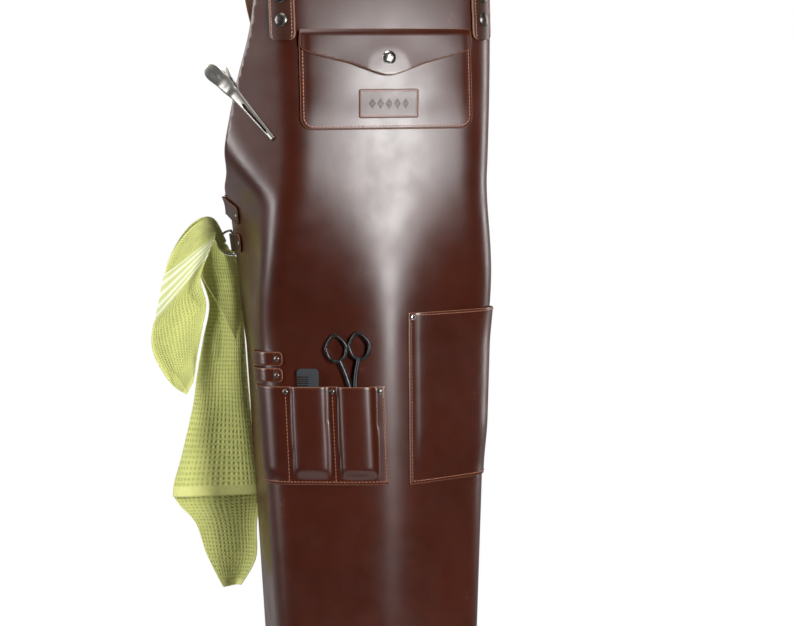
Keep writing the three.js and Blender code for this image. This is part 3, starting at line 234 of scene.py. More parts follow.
def cut_leather(name, outline, base, thick, pitch, body, material, replaced, room=None, holes=()):
    """A leather piece cut flat, its edge rounded over, then bent to the worn shape."""
    outline = outline if area_of(outline) > 0 else outline[::-1]
    inset = thick * 0.42
    rim = outline - loop_out(outline) * inset
    circles = []
    for s, z, radius in holes:
        turns = -np.linspace(0, 2 * np.pi, 14, endpoint=False)
        circles.append(np.stack([s + radius * np.cos(turns), z + radius * np.sin(turns)], -1))
    low, high = rim.min(0), rim.max(0)
    columns = np.linspace(low[0], high[0], max(2, int((high[0] - low[0]) / pitch)) + 1)[1:-1]
    rows = np.linspace(low[1], high[1], max(2, int((high[1] - low[1]) / pitch)) + 1)[1:-1]
    grid = np.stack(np.meshgrid(columns, rows), -1).reshape(-1, 2)
    grid = grid[inside(grid, rim)]
    grid = grid[distance(grid, rim) > pitch * 0.55]
    for circle, (s, z, radius) in zip(circles, holes):
        grid = grid[np.hypot(grid[:, 0] - s, grid[:, 1] - z) > radius + 0.9]
    loops = [rim, *circles]
    points = np.concatenate([*loops, grid])
    edges, at, spans = [], 0, []
    for loop in loops:
        count = len(loop)
        edges += [(at + i, at + (i + 1) % count) for i in range(count)]
        spans.append((at, count))
        at += count
    found, _, faces, origin, _, _ = delaunay_2d_cdt([Vector(p) for p in points], edges, [], 0, 1e-6)
    flat = np.array([tuple(v) for v in found])
    place = {}
    for i, sources in enumerate(origin):
        for source in sources:
            place[source] = i
    faces = np.array(faces)
    middle = flat[faces].mean(1)
    keep = inside(middle, rim)
    for circle in circles:
        keep &= ~inside(middle, circle)
    faces = faces[keep]
    corners = flat[faces]
    ab, ac = corners[:, 1] - corners[:, 0], corners[:, 2] - corners[:, 0]
    flip = ab[:, 0] * ac[:, 1] - ab[:, 1] * ac[:, 0] < 0
    faces[flip] = faces[flip][:, ::-1]
    total = len(flat)
    spots, depth = [flat, flat], [np.full(total, base + thick), np.full(total, base)]
    edge_mark, inner_mark = [np.zeros(total), np.zeros(total)], [np.zeros(total), np.ones(total)]
    quads, at = [], 2 * total
    for number, (start, count) in enumerate(spans):
        top = [place[start + i] for i in range(count)]
        rings = [top]
        if number == 0:
            out = loop_out(rim)
            for angle in (45, 90, 135):
                spots.append(rim + out * inset * math.sin(math.radians(angle)))
                depth.append(np.full(count, base + thick / 2 + thick / 2 * math.cos(math.radians(angle))))
                edge_mark.append(np.full(count, 1.0))
                inner_mark.append(np.zeros(count))
                rings.append([at + i for i in range(count)])
                at += count
        rings.append([i + total for i in top])
        for upper, lower in zip(rings, rings[1:]):
            for i in range(count):
                j = (i + 1) % count
                quads.append((upper[i], lower[i], lower[j], upper[j]))
    spots, depth = np.concatenate(spots), np.concatenate(depth)
    if room is not None:
        depth = depth + room(spots[:, 0], spots[:, 1])
    verts = worn(spots[:, 0], spots[:, 1], depth)
    near = np.concatenate([rim, *circles])
    rim_mark = np.clip(1 - distance(spots, near) / 7, 0, 1)
    all_faces = [tuple(f) for f in faces] + [tuple(f[::-1] + total) for f in faces] + quads
    marks = {"edge": np.concatenate(edge_mark), "flesh": np.concatenate(inner_mark), "rim": rim_mark}
    return add_piece(name, verts, all_faces, body, material, replaced, spots, marks)


def rounded(left, bottom, width, height, low_radius, high_radius, step=3.0):
    def corner(x, y, radius, start):
        if radius == 0:
            return [(x, y)]
        turns = np.radians(np.linspace(start, start + 90, max(4, int(radius))))
        return [(x + radius * math.cos(a), y + radius * math.sin(a)) for a in turns]

    right, top = left + width, bottom + height
    low, high = low_radius, high_radius
    line = corner(left + low, bottom + low, low, 180) + corner(right - low, bottom + low, low, 270)
    line += corner(right - high, top - high, high, 0) + corner(left + high, top - high, high, 90)
    return even(line, step)


def apron_outline():
    hem, corner = BIB_TOP - APRON_LENGTH, 22
    route = ((1, 0.86), (0.88, 0.82), (0.55, 0.745), (0.4, 0.64), (0.25, 0.41), (0.09, 0.2), (0, 0))
    side = [(BIB_HALF + (SKIRT_HALF - BIB_HALF) * w, BIB_TOP - ARMHOLE_DROP * t) for w, t in route]
    side = spline(side, 70)
    turns = np.radians(np.linspace(-90, 0, 9))
    foot = [(SKIRT_HALF - corner + corner * math.cos(a), hem + corner + corner * math.sin(a)) for a in turns]
    right = np.concatenate([foot, side])
    left = right[::-1] * (-1, 1)
    return even(np.concatenate([right, left]), 3.4)


# ---------------------------------------------------------------- room under the sewn pieces
SEAM = 7
CHEST_ROOM_SHARE = 0.45


def pocket_room(s, z):
    side = swell(s, -POCKET_HALF + SEAM, POCKET_HALF - SEAM)
    return CHEST_ROOM_SHARE * POCKET_ROOM * side * smooth((z - POCKET_BOTTOM - SEAM) / 40)


def flap_room(s, z):
    hang = POCKET_ROOM * swell(s, -POCKET_HALF + SEAM, POCKET_HALF - SEAM) * CHEST_ROOM_SHARE
    curl = 1.6 * smooth((FLAP_TOP - z) / FLAP_DROP) * np.cos(s / FLAP_HALF * math.pi * 1.5)
    fold = -3.2 * smooth((z - FLAP_TOP + 7) / 7) ** 2
    return hang + 0.03 * (FLAP_TOP - z) - np.maximum(-curl, -0.6) + fold + 0.9


def tool_shift(z):
    return TOOL_SLANT * (TOOL_TOP - z)


def tool_room(s, z):
    across = TOOL_RIGHT - TOOL_SEAM - (s - tool_shift(z))
    bay = np.clip(np.floor(across / TOOL_PITCH), 0, 2).astype(int)
    within = (across > 0) & (across < 3 * TOOL_PITCH)
    bulge = swell(across - bay * TOOL_PITCH, RIVET_LAND, TOOL_PITCH - RIVET_LAND)
    rise = smooth((z - TOOL_TOP + TOOL_HEIGHT - 5) / 14)
    return np.where(within, np.asarray(BAY_ROOM)[bay] * bulge * rise, 0)


def loop_room(s, z):
    return LOOP_ROOM * swell(s, LOOP_RIGHT - LOOP_PITCH + RIVET_LAND, LOOP_RIGHT - RIVET_LAND) + 0 * z


def side_room(s, z):
    land = 4 + RIVET_LAND
    bulge = swell(s, SIDE_LEFT + land, SIDE_LEFT + SIDE_WIDTH - land)
    return SIDE_ROOM * bulge * smooth((z - SIDE_TOP + SIDE_HEIGHT - 6) / 60) * 0.5


BACK_FACE = GAP + BACKING
POCKET_BASE = BACK_FACE + GAP
POCKET_FACE = POCKET_BASE + SHEET
FLAP_BASE = POCKET_FACE + GAP + 1
FLAP_FACE = FLAP_BASE + SHEET


def tool_rivets():
    return [(TOOL_RIGHT - TOOL_SEAM - i * TOOL_PITCH, TOOL_TOP - 6) for i in range(4)]


def loop_rivets():
    return [(s, z) for z in LOOP_Z for s in (LOOP_RIGHT, LOOP_RIGHT - LOOP_PITCH)]


def side_rivets():
    return [(SIDE_LEFT + 5, SIDE_TOP - 5), (SIDE_LEFT + SIDE_WIDTH - 5, SIDE_TOP - 5)]


# ---------------------------------------------------------------- materials
class Graph:
    """A small helper that adds and joins shader nodes."""

    def __init__(self, name):
        self.material = bpy.data.materials.new(name)
        self.material.use_nodes = True
        self.tree = self.material.node_tree
        self.tree.nodes.clear()
        output = self.tree.nodes.new("ShaderNodeOutputMaterial")
        self.shader = self.tree.nodes.new("ShaderNodeBsdfPrincipled")
        self.join(self.shader, "BSDF", output, "Surface")

    def join(self, source, out, target, into):
        self.tree.links.new(source.outputs[out], target.inputs[into])

    def node(self, kind, inputs=None, **settings):
        node = self.tree.nodes.new(kind)
        for key, value in settings.items():
            setattr(node, key, value)
        for key, value in (inputs or {}).items():
            self.put(node, key, value)
        return node

    def put(self, node, key, value):
        if isinstance(value, tuple) and len(value) == 2 and hasattr(value[0], "outputs"):
            self.tree.links.new(value[0].outputs[value[1]], node.inputs[key])
        else:
            node.inputs[key].default_value = value

    def place(self, uv=True):
        node = self.node("ShaderNodeUVMap", uv_map="pattern") if uv else self.node("ShaderNodeTexCoord")
        return (node, "UV" if uv else "Object")

    def noise(self, where, scale, detail=3.0, roughness=0.5, stretch=None):
        if stretch:
            where = (self.node("ShaderNodeMapping", {"Vector": where, "Scale": stretch}), "Vector")
        inputs = {"Vector": where, "Scale": scale, "Detail": detail, "Roughness": roughness}
        return (self.node("ShaderNodeTexNoise", inputs), "Fac")

    def ramp(self, value, low, high, to_low=0.0, to_high=1.0):
        inputs = {0: value, 1: low, 2: high, 3: to_low, 4: to_high}
        return (self.node("ShaderNodeMapRange", inputs, interpolation_type="SMOOTHSTEP"), 0)

    def math(self, kind, a, b=0.0):
        return (self.node("ShaderNodeMath", {0: a, 1: b}, operation=kind), 0)

    def blend(self, fac, a, b, kind="MIX"):
        node = self.node("ShaderNodeMix", data_type="RGBA", blend_type=kind)
        self.put(node, 0, fac)
        self.put(node, 6, a)
        self.put(node, 7, b)
        return (node, 2)

    def mark(self, name):
        return (self.node("ShaderNodeAttribute", attribute_name=name), "Fac")

    def bump(self, height, strength, distance, normal=None):
        inputs = {"Height": height, "Strength": strength, "Distance": distance}
        node = self.node("ShaderNodeBump", inputs)
        if normal is not None:
            self.put(node, "Normal", normal)
        return (node, "Normal")

    def set(self, **values):
        for key, value in values.items():
            self.put(self.shader, key.replace("_", " "), value)


def color(values, gain=1.0):
    return (values[0] * gain, values[1] * gain, values[2] * gain, 1.0)


def leather(name, base, gloss=0.3):
    """Waxed pull-up leather: even, deep colour, faint clouds, fine pores, pale rubs and raw cut edges."""
    g = Graph(name)
    at = g.place()
    cloud = g.noise(at, 9, 3)
    mottle = g.noise(at, 55, 4, 0.6)
    tone = g.blend(g.ramp(cloud, 0.3, 0.72), color(base, 0.88), color(base, 1.14))
    tone = g.blend(g.ramp(mottle, 0.35, 0.75, 0, 0.35), tone,
        color((base[0] * 1.5, base[1] * 1.35, base[2] * 1.2)))
    rub = g.math("MULTIPLY", g.ramp(g.noise(at, 14, 2), 0.66, 0.78), g.ramp(g.noise(at, 190, 3), 0.5, 0.7))
    tone = g.blend(g.math("MULTIPLY", rub, 0.55), tone, (0.2, 0.085, 0.05, 1))
    rim = g.mark("rim")
    tone = g.blend(g.math("MULTIPLY", g.ramp(rim, 0.6, 1.0), 0.22), tone, (0.12, 0.036, 0.018, 1))
    edge = g.mark("edge")
    raw = g.blend(g.noise(at, 900, 3), (0.2, 0.075, 0.03, 1), (0.36, 0.16, 0.075, 1))
    tone = g.blend(edge, tone, raw)
    flesh = g.mark("flesh")
    suede = g.blend(g.noise(at, 420, 5, 0.7), (0.13, 0.07, 0.045, 1), (0.24, 0.135, 0.09, 1))
    tone = g.blend(flesh, tone, suede)
    rough = g.math("ADD", g.ramp(g.noise(at, 30, 3), 0.25, 0.8, gloss, gloss + 0.07),
        g.math("MULTIPLY", rub, 0.2))
    rough = g.math("MAXIMUM", rough, g.math("MULTIPLY", g.math("MAXIMUM", edge, flesh), 0.8))
    pores = g.node("ShaderNodeTexVoronoi", {"Vector": at, "Scale": 900.0}, feature="F1")
    pore = g.ramp((pores, "Distance"), 0.0, 0.45)
    skin = g.bump(pore, 0.1, 0.00006)
    skin = g.bump(g.noise(at, 340, 4, 0.6), 0.14, 0.0002, skin)
    skin = g.bump(g.noise(at, 26, 3, 0.5, (1, 0.35, 1)), 0.12, 0.001, skin)
    g.set(Base_Color=tone, Roughness=rough, Normal=skin, Specular_IOR_Level=0.5, Coat_Weight=0.0)
    return g.material


def label_leather(name, base):
    """Leather with a pressed ornament: a row of lozenges between two rules."""
    material = leather(name, base, 0.34)
    tree = material.node_tree
    g = Graph.__new__(Graph)
    g.material, g.tree = material, tree
    g.shader = next(n for n in tree.nodes if n.type == "BSDF_PRINCIPLED")
    at = g.place()
    split = g.node("ShaderNodeSeparateXYZ", {0: at})
    x = (split, 0)
    up = g.math("ABSOLUTE", g.math("SUBTRACT", (split, 1), LABEL_Z * MM))
    pitch = 0.0098
    cell = g.math("SUBTRACT", g.math("FRACT", g.math("ADD", g.math("DIVIDE", x, pitch), 100.5)), 0.5)
    side = g.math("MULTIPLY", g.math("ABSOLUTE", cell), pitch)
    reach = g.math("ADD", g.math("MULTIPLY", side, 1.15), g.math("MULTIPLY", up, 0.8))
    ring = g.math("ABSOLUTE", g.math("SUBTRACT", reach, 0.0036))
    line = g.ramp(ring, 0.0004, 0.0009, 1, 0)
    line = g.math("MAXIMUM", line, g.ramp(reach, 0.0012, 0.0017, 1, 0))
    ends = g.ramp(g.math("ABSOLUTE", x), 0.0238, 0.0246, 1, 0)
    pressed = g.math("MULTIPLY", line, ends)
    base_link = g.shader.inputs["Base Color"].links[0]
    tone = g.blend(g.math("MULTIPLY", pressed, 0.85), (base_link.from_node, 2), (0.012, 0.005, 0.004, 1))
    normal = g.shader.inputs["Normal"].links[0].from_node
    dent = g.bump(g.math("SUBTRACT", 1.0, pressed), 0.6, 0.0006, (normal, "Normal"))
    g.set(Base_Color=tone, Normal=dent)
    return material


def metal(name, base, rough, wear=0.0, grime=0.35, dark=(0.02, 0.018, 0.016)):
    """Plated or bare metal with fine scratches, dulled patches and dirt in its low grain."""
    g = Graph(name)
    at = g.place(uv=False)
    patch = g.ramp(g.noise(at, 160, 4, 0.6), 0.35, 0.7)
    scratch = g.noise(at, 900, 2, 0.5, (1, 0.12, 1))
    tone = g.blend(g.math("MULTIPLY", patch, grime), color(base), color(dark, 3))
    if wear:
        rub = g.ramp(g.noise(at, 420, 4, 0.65), 0.52, 0.62)
        tone = g.blend(g.math("MULTIPLY", rub, wear), tone, (0.42, 0.4, 0.38, 1))
    dull = g.math("ADD", g.ramp(scratch, 0.3, 0.75, rough, rough + 0.16), g.math("MULTIPLY", patch, 0.08))
    g.set(Base_Color=tone, Metallic=1.0, Roughness=dull, Normal=g.bump(scratch, 0.12, 0.00005))
    return g.material


def thread(name, base):
    """Waxed linen thread with a twisted lay, its grooves darkened with painted shade."""
    g = Graph(name)
    at = g.place(uv=False)
    wave = g.node("ShaderNodeTexWave", {"Vector": at, "Scale": 420.0, "Distortion": 2.0},
        bands_direction="DIAGONAL")
    # painted shade: the wave bands darken the thread where the bump lies low, in the grooves of the twist
    tone = g.blend((wave, "Fac"), color(base, 0.6), color(base, 1.15))
    tone = g.blend(g.noise(at, 90, 3), tone, color(base, 0.8))
    g.set(Base_Color=tone, Roughness=0.62, Normal=g.bump((wave, "Fac"), 0.5, 0.00012), Sheen_Weight=0.2)
    return g.material


def hard_plastic(name):
    """Dense black comb plastic with a faint moulded grain and handling marks."""
    g = Graph(name)
    at = g.place(uv=False)
    grain = g.noise(at, 700, 3)
    smear = g.ramp(g.noise(at, 70, 4), 0.35, 0.7)
    tone = g.blend(smear, (0.012, 0.013, 0.016, 1), (0.03, 0.032, 0.038, 1))
    g.set(Base_Color=tone, Roughness=g.ramp(grain, 0.3, 0.7, 0.32, 0.5), Normal=g.bump(grain, 0.1, 0.00006))
    return g.material


def waffle(name, base):
    """Waffle-weave cotton: sunk square cells darkened with painted shade, plain hems and a striped band near one
    end.
    """
    g = Graph(name)
    at = g.place()
    split = g.node("ShaderNodeSeparateXYZ", {0: at})
    cell = 2 * math.pi / 0.0034
    across = g.math("SINE", g.math("MULTIPLY", (split, 0), cell))
    along = g.math("SINE", g.math("MULTIPLY", (split, 1), cell))
    pits = g.math("MULTIPLY", g.math("ADD", across, 1.0), g.math("ADD", along, 1.0))
    pits = g.math("SUBTRACT", 1.0, g.ramp(pits, 0.4, 3.6))
    plain = g.mark("hem")
    band = g.mark("band")
    striped = g.math("MULTIPLY", g.ramp(band, 0.02, 0.04), g.ramp(band, 0.96, 0.98, 1, 0))
    flat = g.math("MAXIMUM", plain, striped)
    fade = g.ramp(g.noise(at, 25, 4, 0.6), 0.25, 0.8)
    light = color(base, 1.12)
    tone = g.blend(fade, color(base, 0.82), light)
    # painted shade: the sunk cells, where the bump lies low, are darkened and deepened in colour
    tone = g.blend(g.math("MULTIPLY", g.math("SUBTRACT", 1.0, pits), 0.5), tone,
        color((base[0] * 0.52, base[1] * 0.6, base[2] * 0.35)))
    hem_tone = g.blend(g.noise(at, 300, 2), color(base, 0.9),
        color((base[0] * 1.15, base[1] * 1.1, base[2] * 1.3)))
    tone = g.blend(plain, tone, hem_tone)
    lines = g.math("FRACT", g.math("MULTIPLY", band, 4.6))
    green = g.math("MULTIPLY", g.ramp(lines, 0.3, 0.36), g.ramp(lines, 0.86, 0.92, 1, 0))
    stripes = g.blend(green, (0.82, 0.85, 0.66, 1), color((base[0] * 0.95, base[1] * 0.95, base[2] * 1.35)))
    tone = g.blend(striped, tone, stripes)
    weave = g.noise(at, 1500, 2, 0.5)
    skin = g.bump(weave, 0.35, 0.0002)
    skin = g.bump(g.math("MAXIMUM", pits, flat), 0.85, 0.0011, skin)
    skin = g.bump(g.noise(at, 60, 4, 0.6), 0.4, 0.002, skin)
    g.set(Base_Color=tone, Roughness=0.95, Normal=skin, Sheen_Weight=0.35, Sheen_Roughness=0.5,
        Specular_IOR_Level=0.2)
    return g.material


def plain_floor(name):
    g = Graph(name)
    at = g.place(uv=False)
    tone = g.blend(g.noise(at, 3, 3), (0.86, 0.86, 0.87, 1), (0.9, 0.9, 0.9, 1))
    g.set(Base_Color=tone, Roughness=0.75, Normal=g.bump(g.noise(at, 40, 3), 0.05, 0.001))
    return g.material


# ---------------------------------------------------------------- stitching
def stitch_rows(lines, pitch, face):
    """Middle points, ways and outward ways of stitches along lines on the leather's pattern."""
    spots, ways = [], []
    for line in lines:
        line = np.asarray(line, float)
        steps = np.linalg.norm(np.diff(line, axis=0), axis=1)
        length = np.concatenate([[0], np.cumsum(steps)])
        count = max(1, int(length[-1] / pitch))
        at = (np.arange(count) + 0.5) * length[-1] / count
        spot = np.stack([np.interp(at, length, line[:, 0]), np.interp(at, length, line[:, 1])], -1)
        ahead = np.stack([np.interp(at + 0.5, length, line[:, 0]), np.interp(at + 0.5, length, line[:, 1])],
            -1)
        before = np.stack([np.interp(at - 0.5, length, line[:, 0]),
            np.interp(at - 0.5, length, line[:, 1])], -1)
        spots.append(spot)
        ways.append(unit(ahead - before))
    spots, ways = np.concatenate(spots), np.concatenate(ways)
    middle = worn(spots[:, 0], spots[:, 1], face(spots[:, 0], spots[:, 1]))
    tip = spots + ways * 1.0
    ahead = unit(worn(tip[:, 0], tip[:, 1], face(tip[:, 0], tip[:, 1])) - middle)
    out = face_at(spots[:, 0], spots[:, 1])
    return middle, ahead, unit(out - ahead * (out * ahead).sum(-1, keepdims=True))


def add_stitches(name, middle, ahead, out, length, body, material, thick=0.5):
    """One short sunken strand of thread for each stitch, slanted as saddle stitching is."""
    side = np.cross(ahead, out)
    slant = math.radians(7)
    ahead, side = ahead * math.cos(slant) + side * math.sin(slant), side * math.cos(slant) - ahead * math.sin(slant)
    along = np.array([-0.5, -0.44, -0.24, 0.0, 0.24, 0.44, 0.5])
    fat = np.array([0.15, 0.8, 1.0, 1.0, 1.0, 0.8, 0.15]) * thick
    rise = np.array([-0.42, -0.05, 0.26, 0.36, 0.26, -0.05, -0.42])
    around = 6
    verts, faces = [], []
    for t, radius, height in zip(along, fat, rise):
        for k in range(around):
            angle = 2 * math.pi * k / around
            verts.append(
                middle + ahead * (t * length) + side * (radius * math.cos(angle))
                + out * (height + radius * 0.8 * math.sin(angle))
            )
    verts = np.stack(verts, 1)
    per = verts.shape[1]
    one = []
    for i in range(len(along) - 1):
        for k in range(around):
            j = (k + 1) % around
            one.append((i * around + k, i * around + j, (i + 1) * around + j, (i + 1) * around + k))
    last = (len(along) - 1) * around
    one.append(tuple(range(around))[::-1])
    one.append(tuple(last + k for k in range(around)))
    for n in range(len(middle)):
        faces += [tuple(i + n * per for i in f) for f in one]
    verts = verts.reshape(-1, 3)
    piece = add_piece(name, verts, faces, body, material)
    bpy.ops.object.select_all(action="DESELECT")
    piece.select_set(True)
    bpy.context.view_layer.objects.active = piece
    bpy.ops.object.mode_set(mode="EDIT")
    bpy.ops.mesh.select_all(action="SELECT")
    bpy.ops.mesh.normals_make_consistent(inside=False)
    bpy.ops.object.mode_set(mode="OBJECT")
    return piece


def leather_stitches(name, lines, face, body, material, pitch=4.1, thick=0.5):
    middle, ahead, out = stitch_rows(lines, pitch, face)
    return add_stitches(name, middle, ahead, out, pitch * 0.82, body, material, thick)


# ---------------------------------------------------------------- turned studs
def turned(name, profile, segments, bevel=0.0):
    """A stud spun from its half profile round z, in millimetres; profile runs from the inner axis outwards."""
    bpy.ops.object.select_all(action="DESELECT")
    bpy.ops.mesh.primitive_plane_add(size=1, location=(0, 0, 0))
    piece = bpy.context.object
    piece.name = name
    mesh = piece.data
    mesh.clear_geometry()
    verts = [(r * MM, 0, h * MM) for r, h in profile]
    mesh.from_pydata(verts, [(i, i + 1) for i in range(len(verts) - 1)], [])
    bpy.ops.object.mode_set(mode="EDIT")
    bpy.ops.mesh.select_all(action="SELECT")
    bpy.ops.mesh.spin(steps=segments, angle=2 * math.pi, center=(0, 0, 0), axis=(0, 0, 1))
    bpy.ops.mesh.select_all(action="SELECT")
    bpy.ops.mesh.remove_doubles(threshold=0.00001)
    bpy.ops.mesh.normals_make_consistent(inside=False)
    bpy.ops.object.mode_set(mode="OBJECT")
    if bevel:
        modifier = piece.modifiers.new("soften", "BEVEL")
        modifier.width, modifier.segments, modifier.limit_method = bevel * MM, 2, "ANGLE"
        apply_modifiers(piece)
    bpy.ops.object.select_all(action="DESELECT")
    piece.select_set(True)
    bpy.context.view_layer.objects.active = piece
    bpy.ops.object.shade_smooth_by_angle(angle=math.radians(35))
    return piece


def frame_matrix(origin, x, y, z):
    m = Matrix.Identity(4)
    for i, axis in enumerate((x, y, z)):
        for j in range(3):
            m[j][i] = float(axis[j])
    for j in range(3):
        m[j][3] = float(origin[j]) * MM
    return m


def stud_frame(origin, out, spin=0.0):
    out = unit(out)
    side = unit(np.cross(out, (0.1 + math.sin(spin), math.cos(spin), 0.4)))
    return frame_matrix(origin, side, np.cross(out, side), out)


def place_copy(model, name, matrix, body, material, replaced=()):
    copy = bpy.data.objects.new(name, model.data.copy())
    bpy.context.scene.collection.objects.link(copy)
    copy.data.transform(matrix)
    return finish_piece(copy, body, material, replaced)


def remove(piece):
    bpy.data.objects.remove(piece, do_unlink=True)


# ---------------------------------------------------------------- rings, tabs and straps
def tab_point(side, z0, tilt, u, v, d):
    c, s = math.cos(math.radians(tilt)), math.sin(math.radians(tilt))
    u, v = np.asarray(u, float), np.asarray(v, float)
    return worn(side * (SKIRT_HALF + u * c - v * s), z0 + u * s + v * c, d)


BAR_D = -HIDE / 2
LOOP_INNER = RING_WIRE + 1
BAR_U = TAB_PAST + LOOP_INNER


def turned_about(vector, axis, angle):
    return np.array(Matrix.Rotation(angle, 3, Vector(axis)) @ Vector(vector))


def ring_frame(side, z0, tilt, swing):
    centre = tab_point(side, z0, tilt, BAR_U, 0, BAR_D)
    top = tab_point(side, z0, tilt, BAR_U, TAB_HEIGHT / 2, BAR_D)
    foot = tab_point(side, z0, tilt, BAR_U, -TAB_HEIGHT / 2, BAR_D)
    bar = unit(top - foot)
    centre = (centre + (top + foot) / 2) / 2
    out = unit(tab_point(side, z0, tilt, BAR_U + 1, 0, BAR_D) - centre)
    out = unit(out - bar * np.dot(out, bar))
    out = turned_about(out, bar, math.radians(swing))
    return {"centre": centre, "bar": bar, "out": out, "face": np.cross(out, bar)}


def ring_line(bow, count=96):
    """The wire's centre line in its own plane: x out from the bar, y along the bar."""
    half, corner = RING_BAR / 2, 2
    line = [(0, y) for y in np.linspace(-half + corner, half - corner, 12)]
    line += [(corner - corner * math.cos(a),
        half - corner + corner * math.sin(a)) for a in np.radians((30, 60))]
    across, tall = bow
    arc = np.radians(np.linspace(90, 0, 14))
    line += [(RING_DEPTH - across + across * math.cos(a), half - tall + tall * math.sin(a)) for a in arc]
    arc = np.radians(np.linspace(0, -90, 14))
    line += [(RING_DEPTH - across + across * math.cos(a), -half + tall + tall * math.sin(a)) for a in arc]
    line += [(corner - corner * math.cos(a),
        -half + corner - corner * math.sin(a)) for a in np.radians((60, 30))]
    kept = [line[0]]
    for point in line[1:]:
        if math.dist(point, kept[-1]) > 0.4:
            kept.append(point)
    return spline(kept, count, closed=True)


def wire_piece(name, line, radius, matrix, body, material, replaced=(), closed=True, fat=None, sides=4):
    """A bent wire from a curve with a round bevel, turned into a mesh in its place."""
    data = bpy.data.curves.new(name, "CURVE")
    data.dimensions = "3D"
    data.bevel_depth = radius * MM
    data.bevel_resolution = sides
    data.use_fill_caps = True
    path = data.splines.new("POLY")
    path.points.add(len(line) - 1)
    for i, (point, spot) in enumerate(zip(path.points, line)):
        xyz = (*spot, 0.0) if len(spot) == 2 else tuple(spot)
        point.co = (xyz[0] * MM, xyz[1] * MM, xyz[2] * MM, 1)
        if fat is not None:
            point.radius = float(fat[i])
    path.use_cyclic_u = closed
    path.use_smooth = True
    holder = bpy.data.objects.new(name, data)
    bpy.context.scene.collection.objects.link(holder)
    bpy.ops.object.select_all(action="DESELECT")
    holder.select_set(True)
    bpy.context.view_layer.objects.active = holder
    bpy.ops.object.convert(target="MESH")
    piece = bpy.context.object
    piece.data.transform(matrix)
    return finish_piece(piece, body, material, replaced)


def plate_piece(name, loops, thick, bevel, matrix, body, material, replaced=(), lift=0.0):
    """A flat plate with a bevelled edge, filled from closed outlines in its own plane."""
    data = bpy.data.curves.new(name, "CURVE")
    data.dimensions = "2D"
    data.fill_mode = "BOTH"
    data.extrude = (thick / 2 - bevel) * MM
    data.bevel_depth = bevel * MM
    data.bevel_resolution = 2
    data.offset = -bevel * MM
    for loop in loops:
        path = data.splines.new("POLY")
        path.points.add(len(loop) - 1)
        for point, spot in zip(path.points, loop):
            point.co = (spot[0] * MM, spot[1] * MM, 0, 1)
        path.use_cyclic_u = True
    holder = bpy.data.objects.new(name, data)
    bpy.context.scene.collection.objects.link(holder)
    bpy.ops.object.select_all(action="DESELECT")
    holder.select_set(True)
    bpy.context.view_layer.objects.active = holder
    bpy.ops.object.convert(target="MESH")
    piece = bpy.context.object
    bpy.ops.object.mode_set(mode="EDIT")
    bpy.ops.mesh.select_all(action="SELECT")
    bpy.ops.mesh.remove_doubles(threshold=0.000002)
    bpy.ops.mesh.normals_make_consistent(inside=False)
    bpy.ops.object.mode_set(mode="OBJECT")
    bpy.ops.object.shade_smooth_by_angle(angle=math.radians(50))
    piece.data.transform(matrix @ Matrix.Translation((0, 0, (lift + thick / 2) * MM)))
    return finish_piece(piece, body, material, replaced)


def band_mesh(name, spots, out, thick, flat, body, material, replaced=(), round_edge=True):
    """A strip of leather from rows of points across its outer face, its long edges rounded over."""
    rows, count = spots.shape[:2]
    sideways = unit(spots[:, -1] - spots[:, 0])
    verts, pattern, edge, flesh, rim = [], [], [], [], []
    width = np.linalg.norm(spots[:, -1] - spots[:, 0], axis=-1)

    def add(points, uv, is_edge, is_flesh, near):
        verts.append(points)
        pattern.append(uv)
        edge.append(np.full(len(points), float(is_edge)))
        flesh.append(np.full(len(points), float(is_flesh)))
        rim.append(near)

    inset = 0.4 * thick if round_edge else 0.0
    for j in range(count):
        t = j / (count - 1) * 2 - 1
        shift = -sideways * (inset * t)
        near = np.full(rows, max(0.0, 1 - (1 - abs(t)) * 14 / 5))
        add(spots[:, j] + shift, flat[:, j], 0, 0, near)
    for angle in (45, 90, 135):
        a = math.radians(angle)
        move = sideways * (inset * (math.sin(a) - 1)) - out * (thick / 2 * (1 - math.cos(a)))
        add(spots[:, -1] + move, flat[:, -1], 1, 0, np.ones(rows))
    for j in reversed(range(count)):
        t = j / (count - 1) * 2 - 1
        add(spots[:, j] - sideways * (inset * t) - out * thick, flat[:, j], 0, 1, np.zeros(rows))
    for angle in (135, 90, 45):
        a = math.radians(angle)
        move = -sideways * (inset * (math.sin(a) - 1)) - out * (thick / 2 * (1 - math.cos(a)))
        add(spots[:, 0] + move, flat[:, 0], 1, 0, np.ones(rows))
    around = len(verts)
    grid = np.stack(verts, 1)
    index = np.arange(rows * around).reshape(rows, around)
    a, b = index[:-1], index[1:]
    quads = np.stack([a, np.roll(a, -1, 1), np.roll(b, -1, 1), b], -1).reshape(-1, 4)
    faces = [tuple(q) for q in quads]
    faces.append(tuple(index[0][::-1]))
    faces.append(tuple(index[-1]))
    marks = {
        "edge": np.stack(edge, 1).ravel(),
        "flesh": np.stack(flesh, 1).ravel(),
        "rim": np.stack(rim, 1).ravel(),
    }
    points = grid.reshape(-1, 3)
    piece = add_piece(name, points, faces, body, material, replaced,
        np.stack(pattern, 1).reshape(-1, 2), marks)
    bpy.ops.object.select_all(action="DESELECT")
    piece.select_set(True)
    bpy.context.view_layer.objects.active = piece
    bpy.ops.object.mode_set(mode="EDIT")
    bpy.ops.mesh.select_all(action="SELECT")
    bpy.ops.mesh.normals_make_consistent(inside=False)
    bpy.ops.object.mode_set(mode="OBJECT")
    bpy.ops.object.shade_smooth_by_angle(angle=math.radians(50))
    return piece


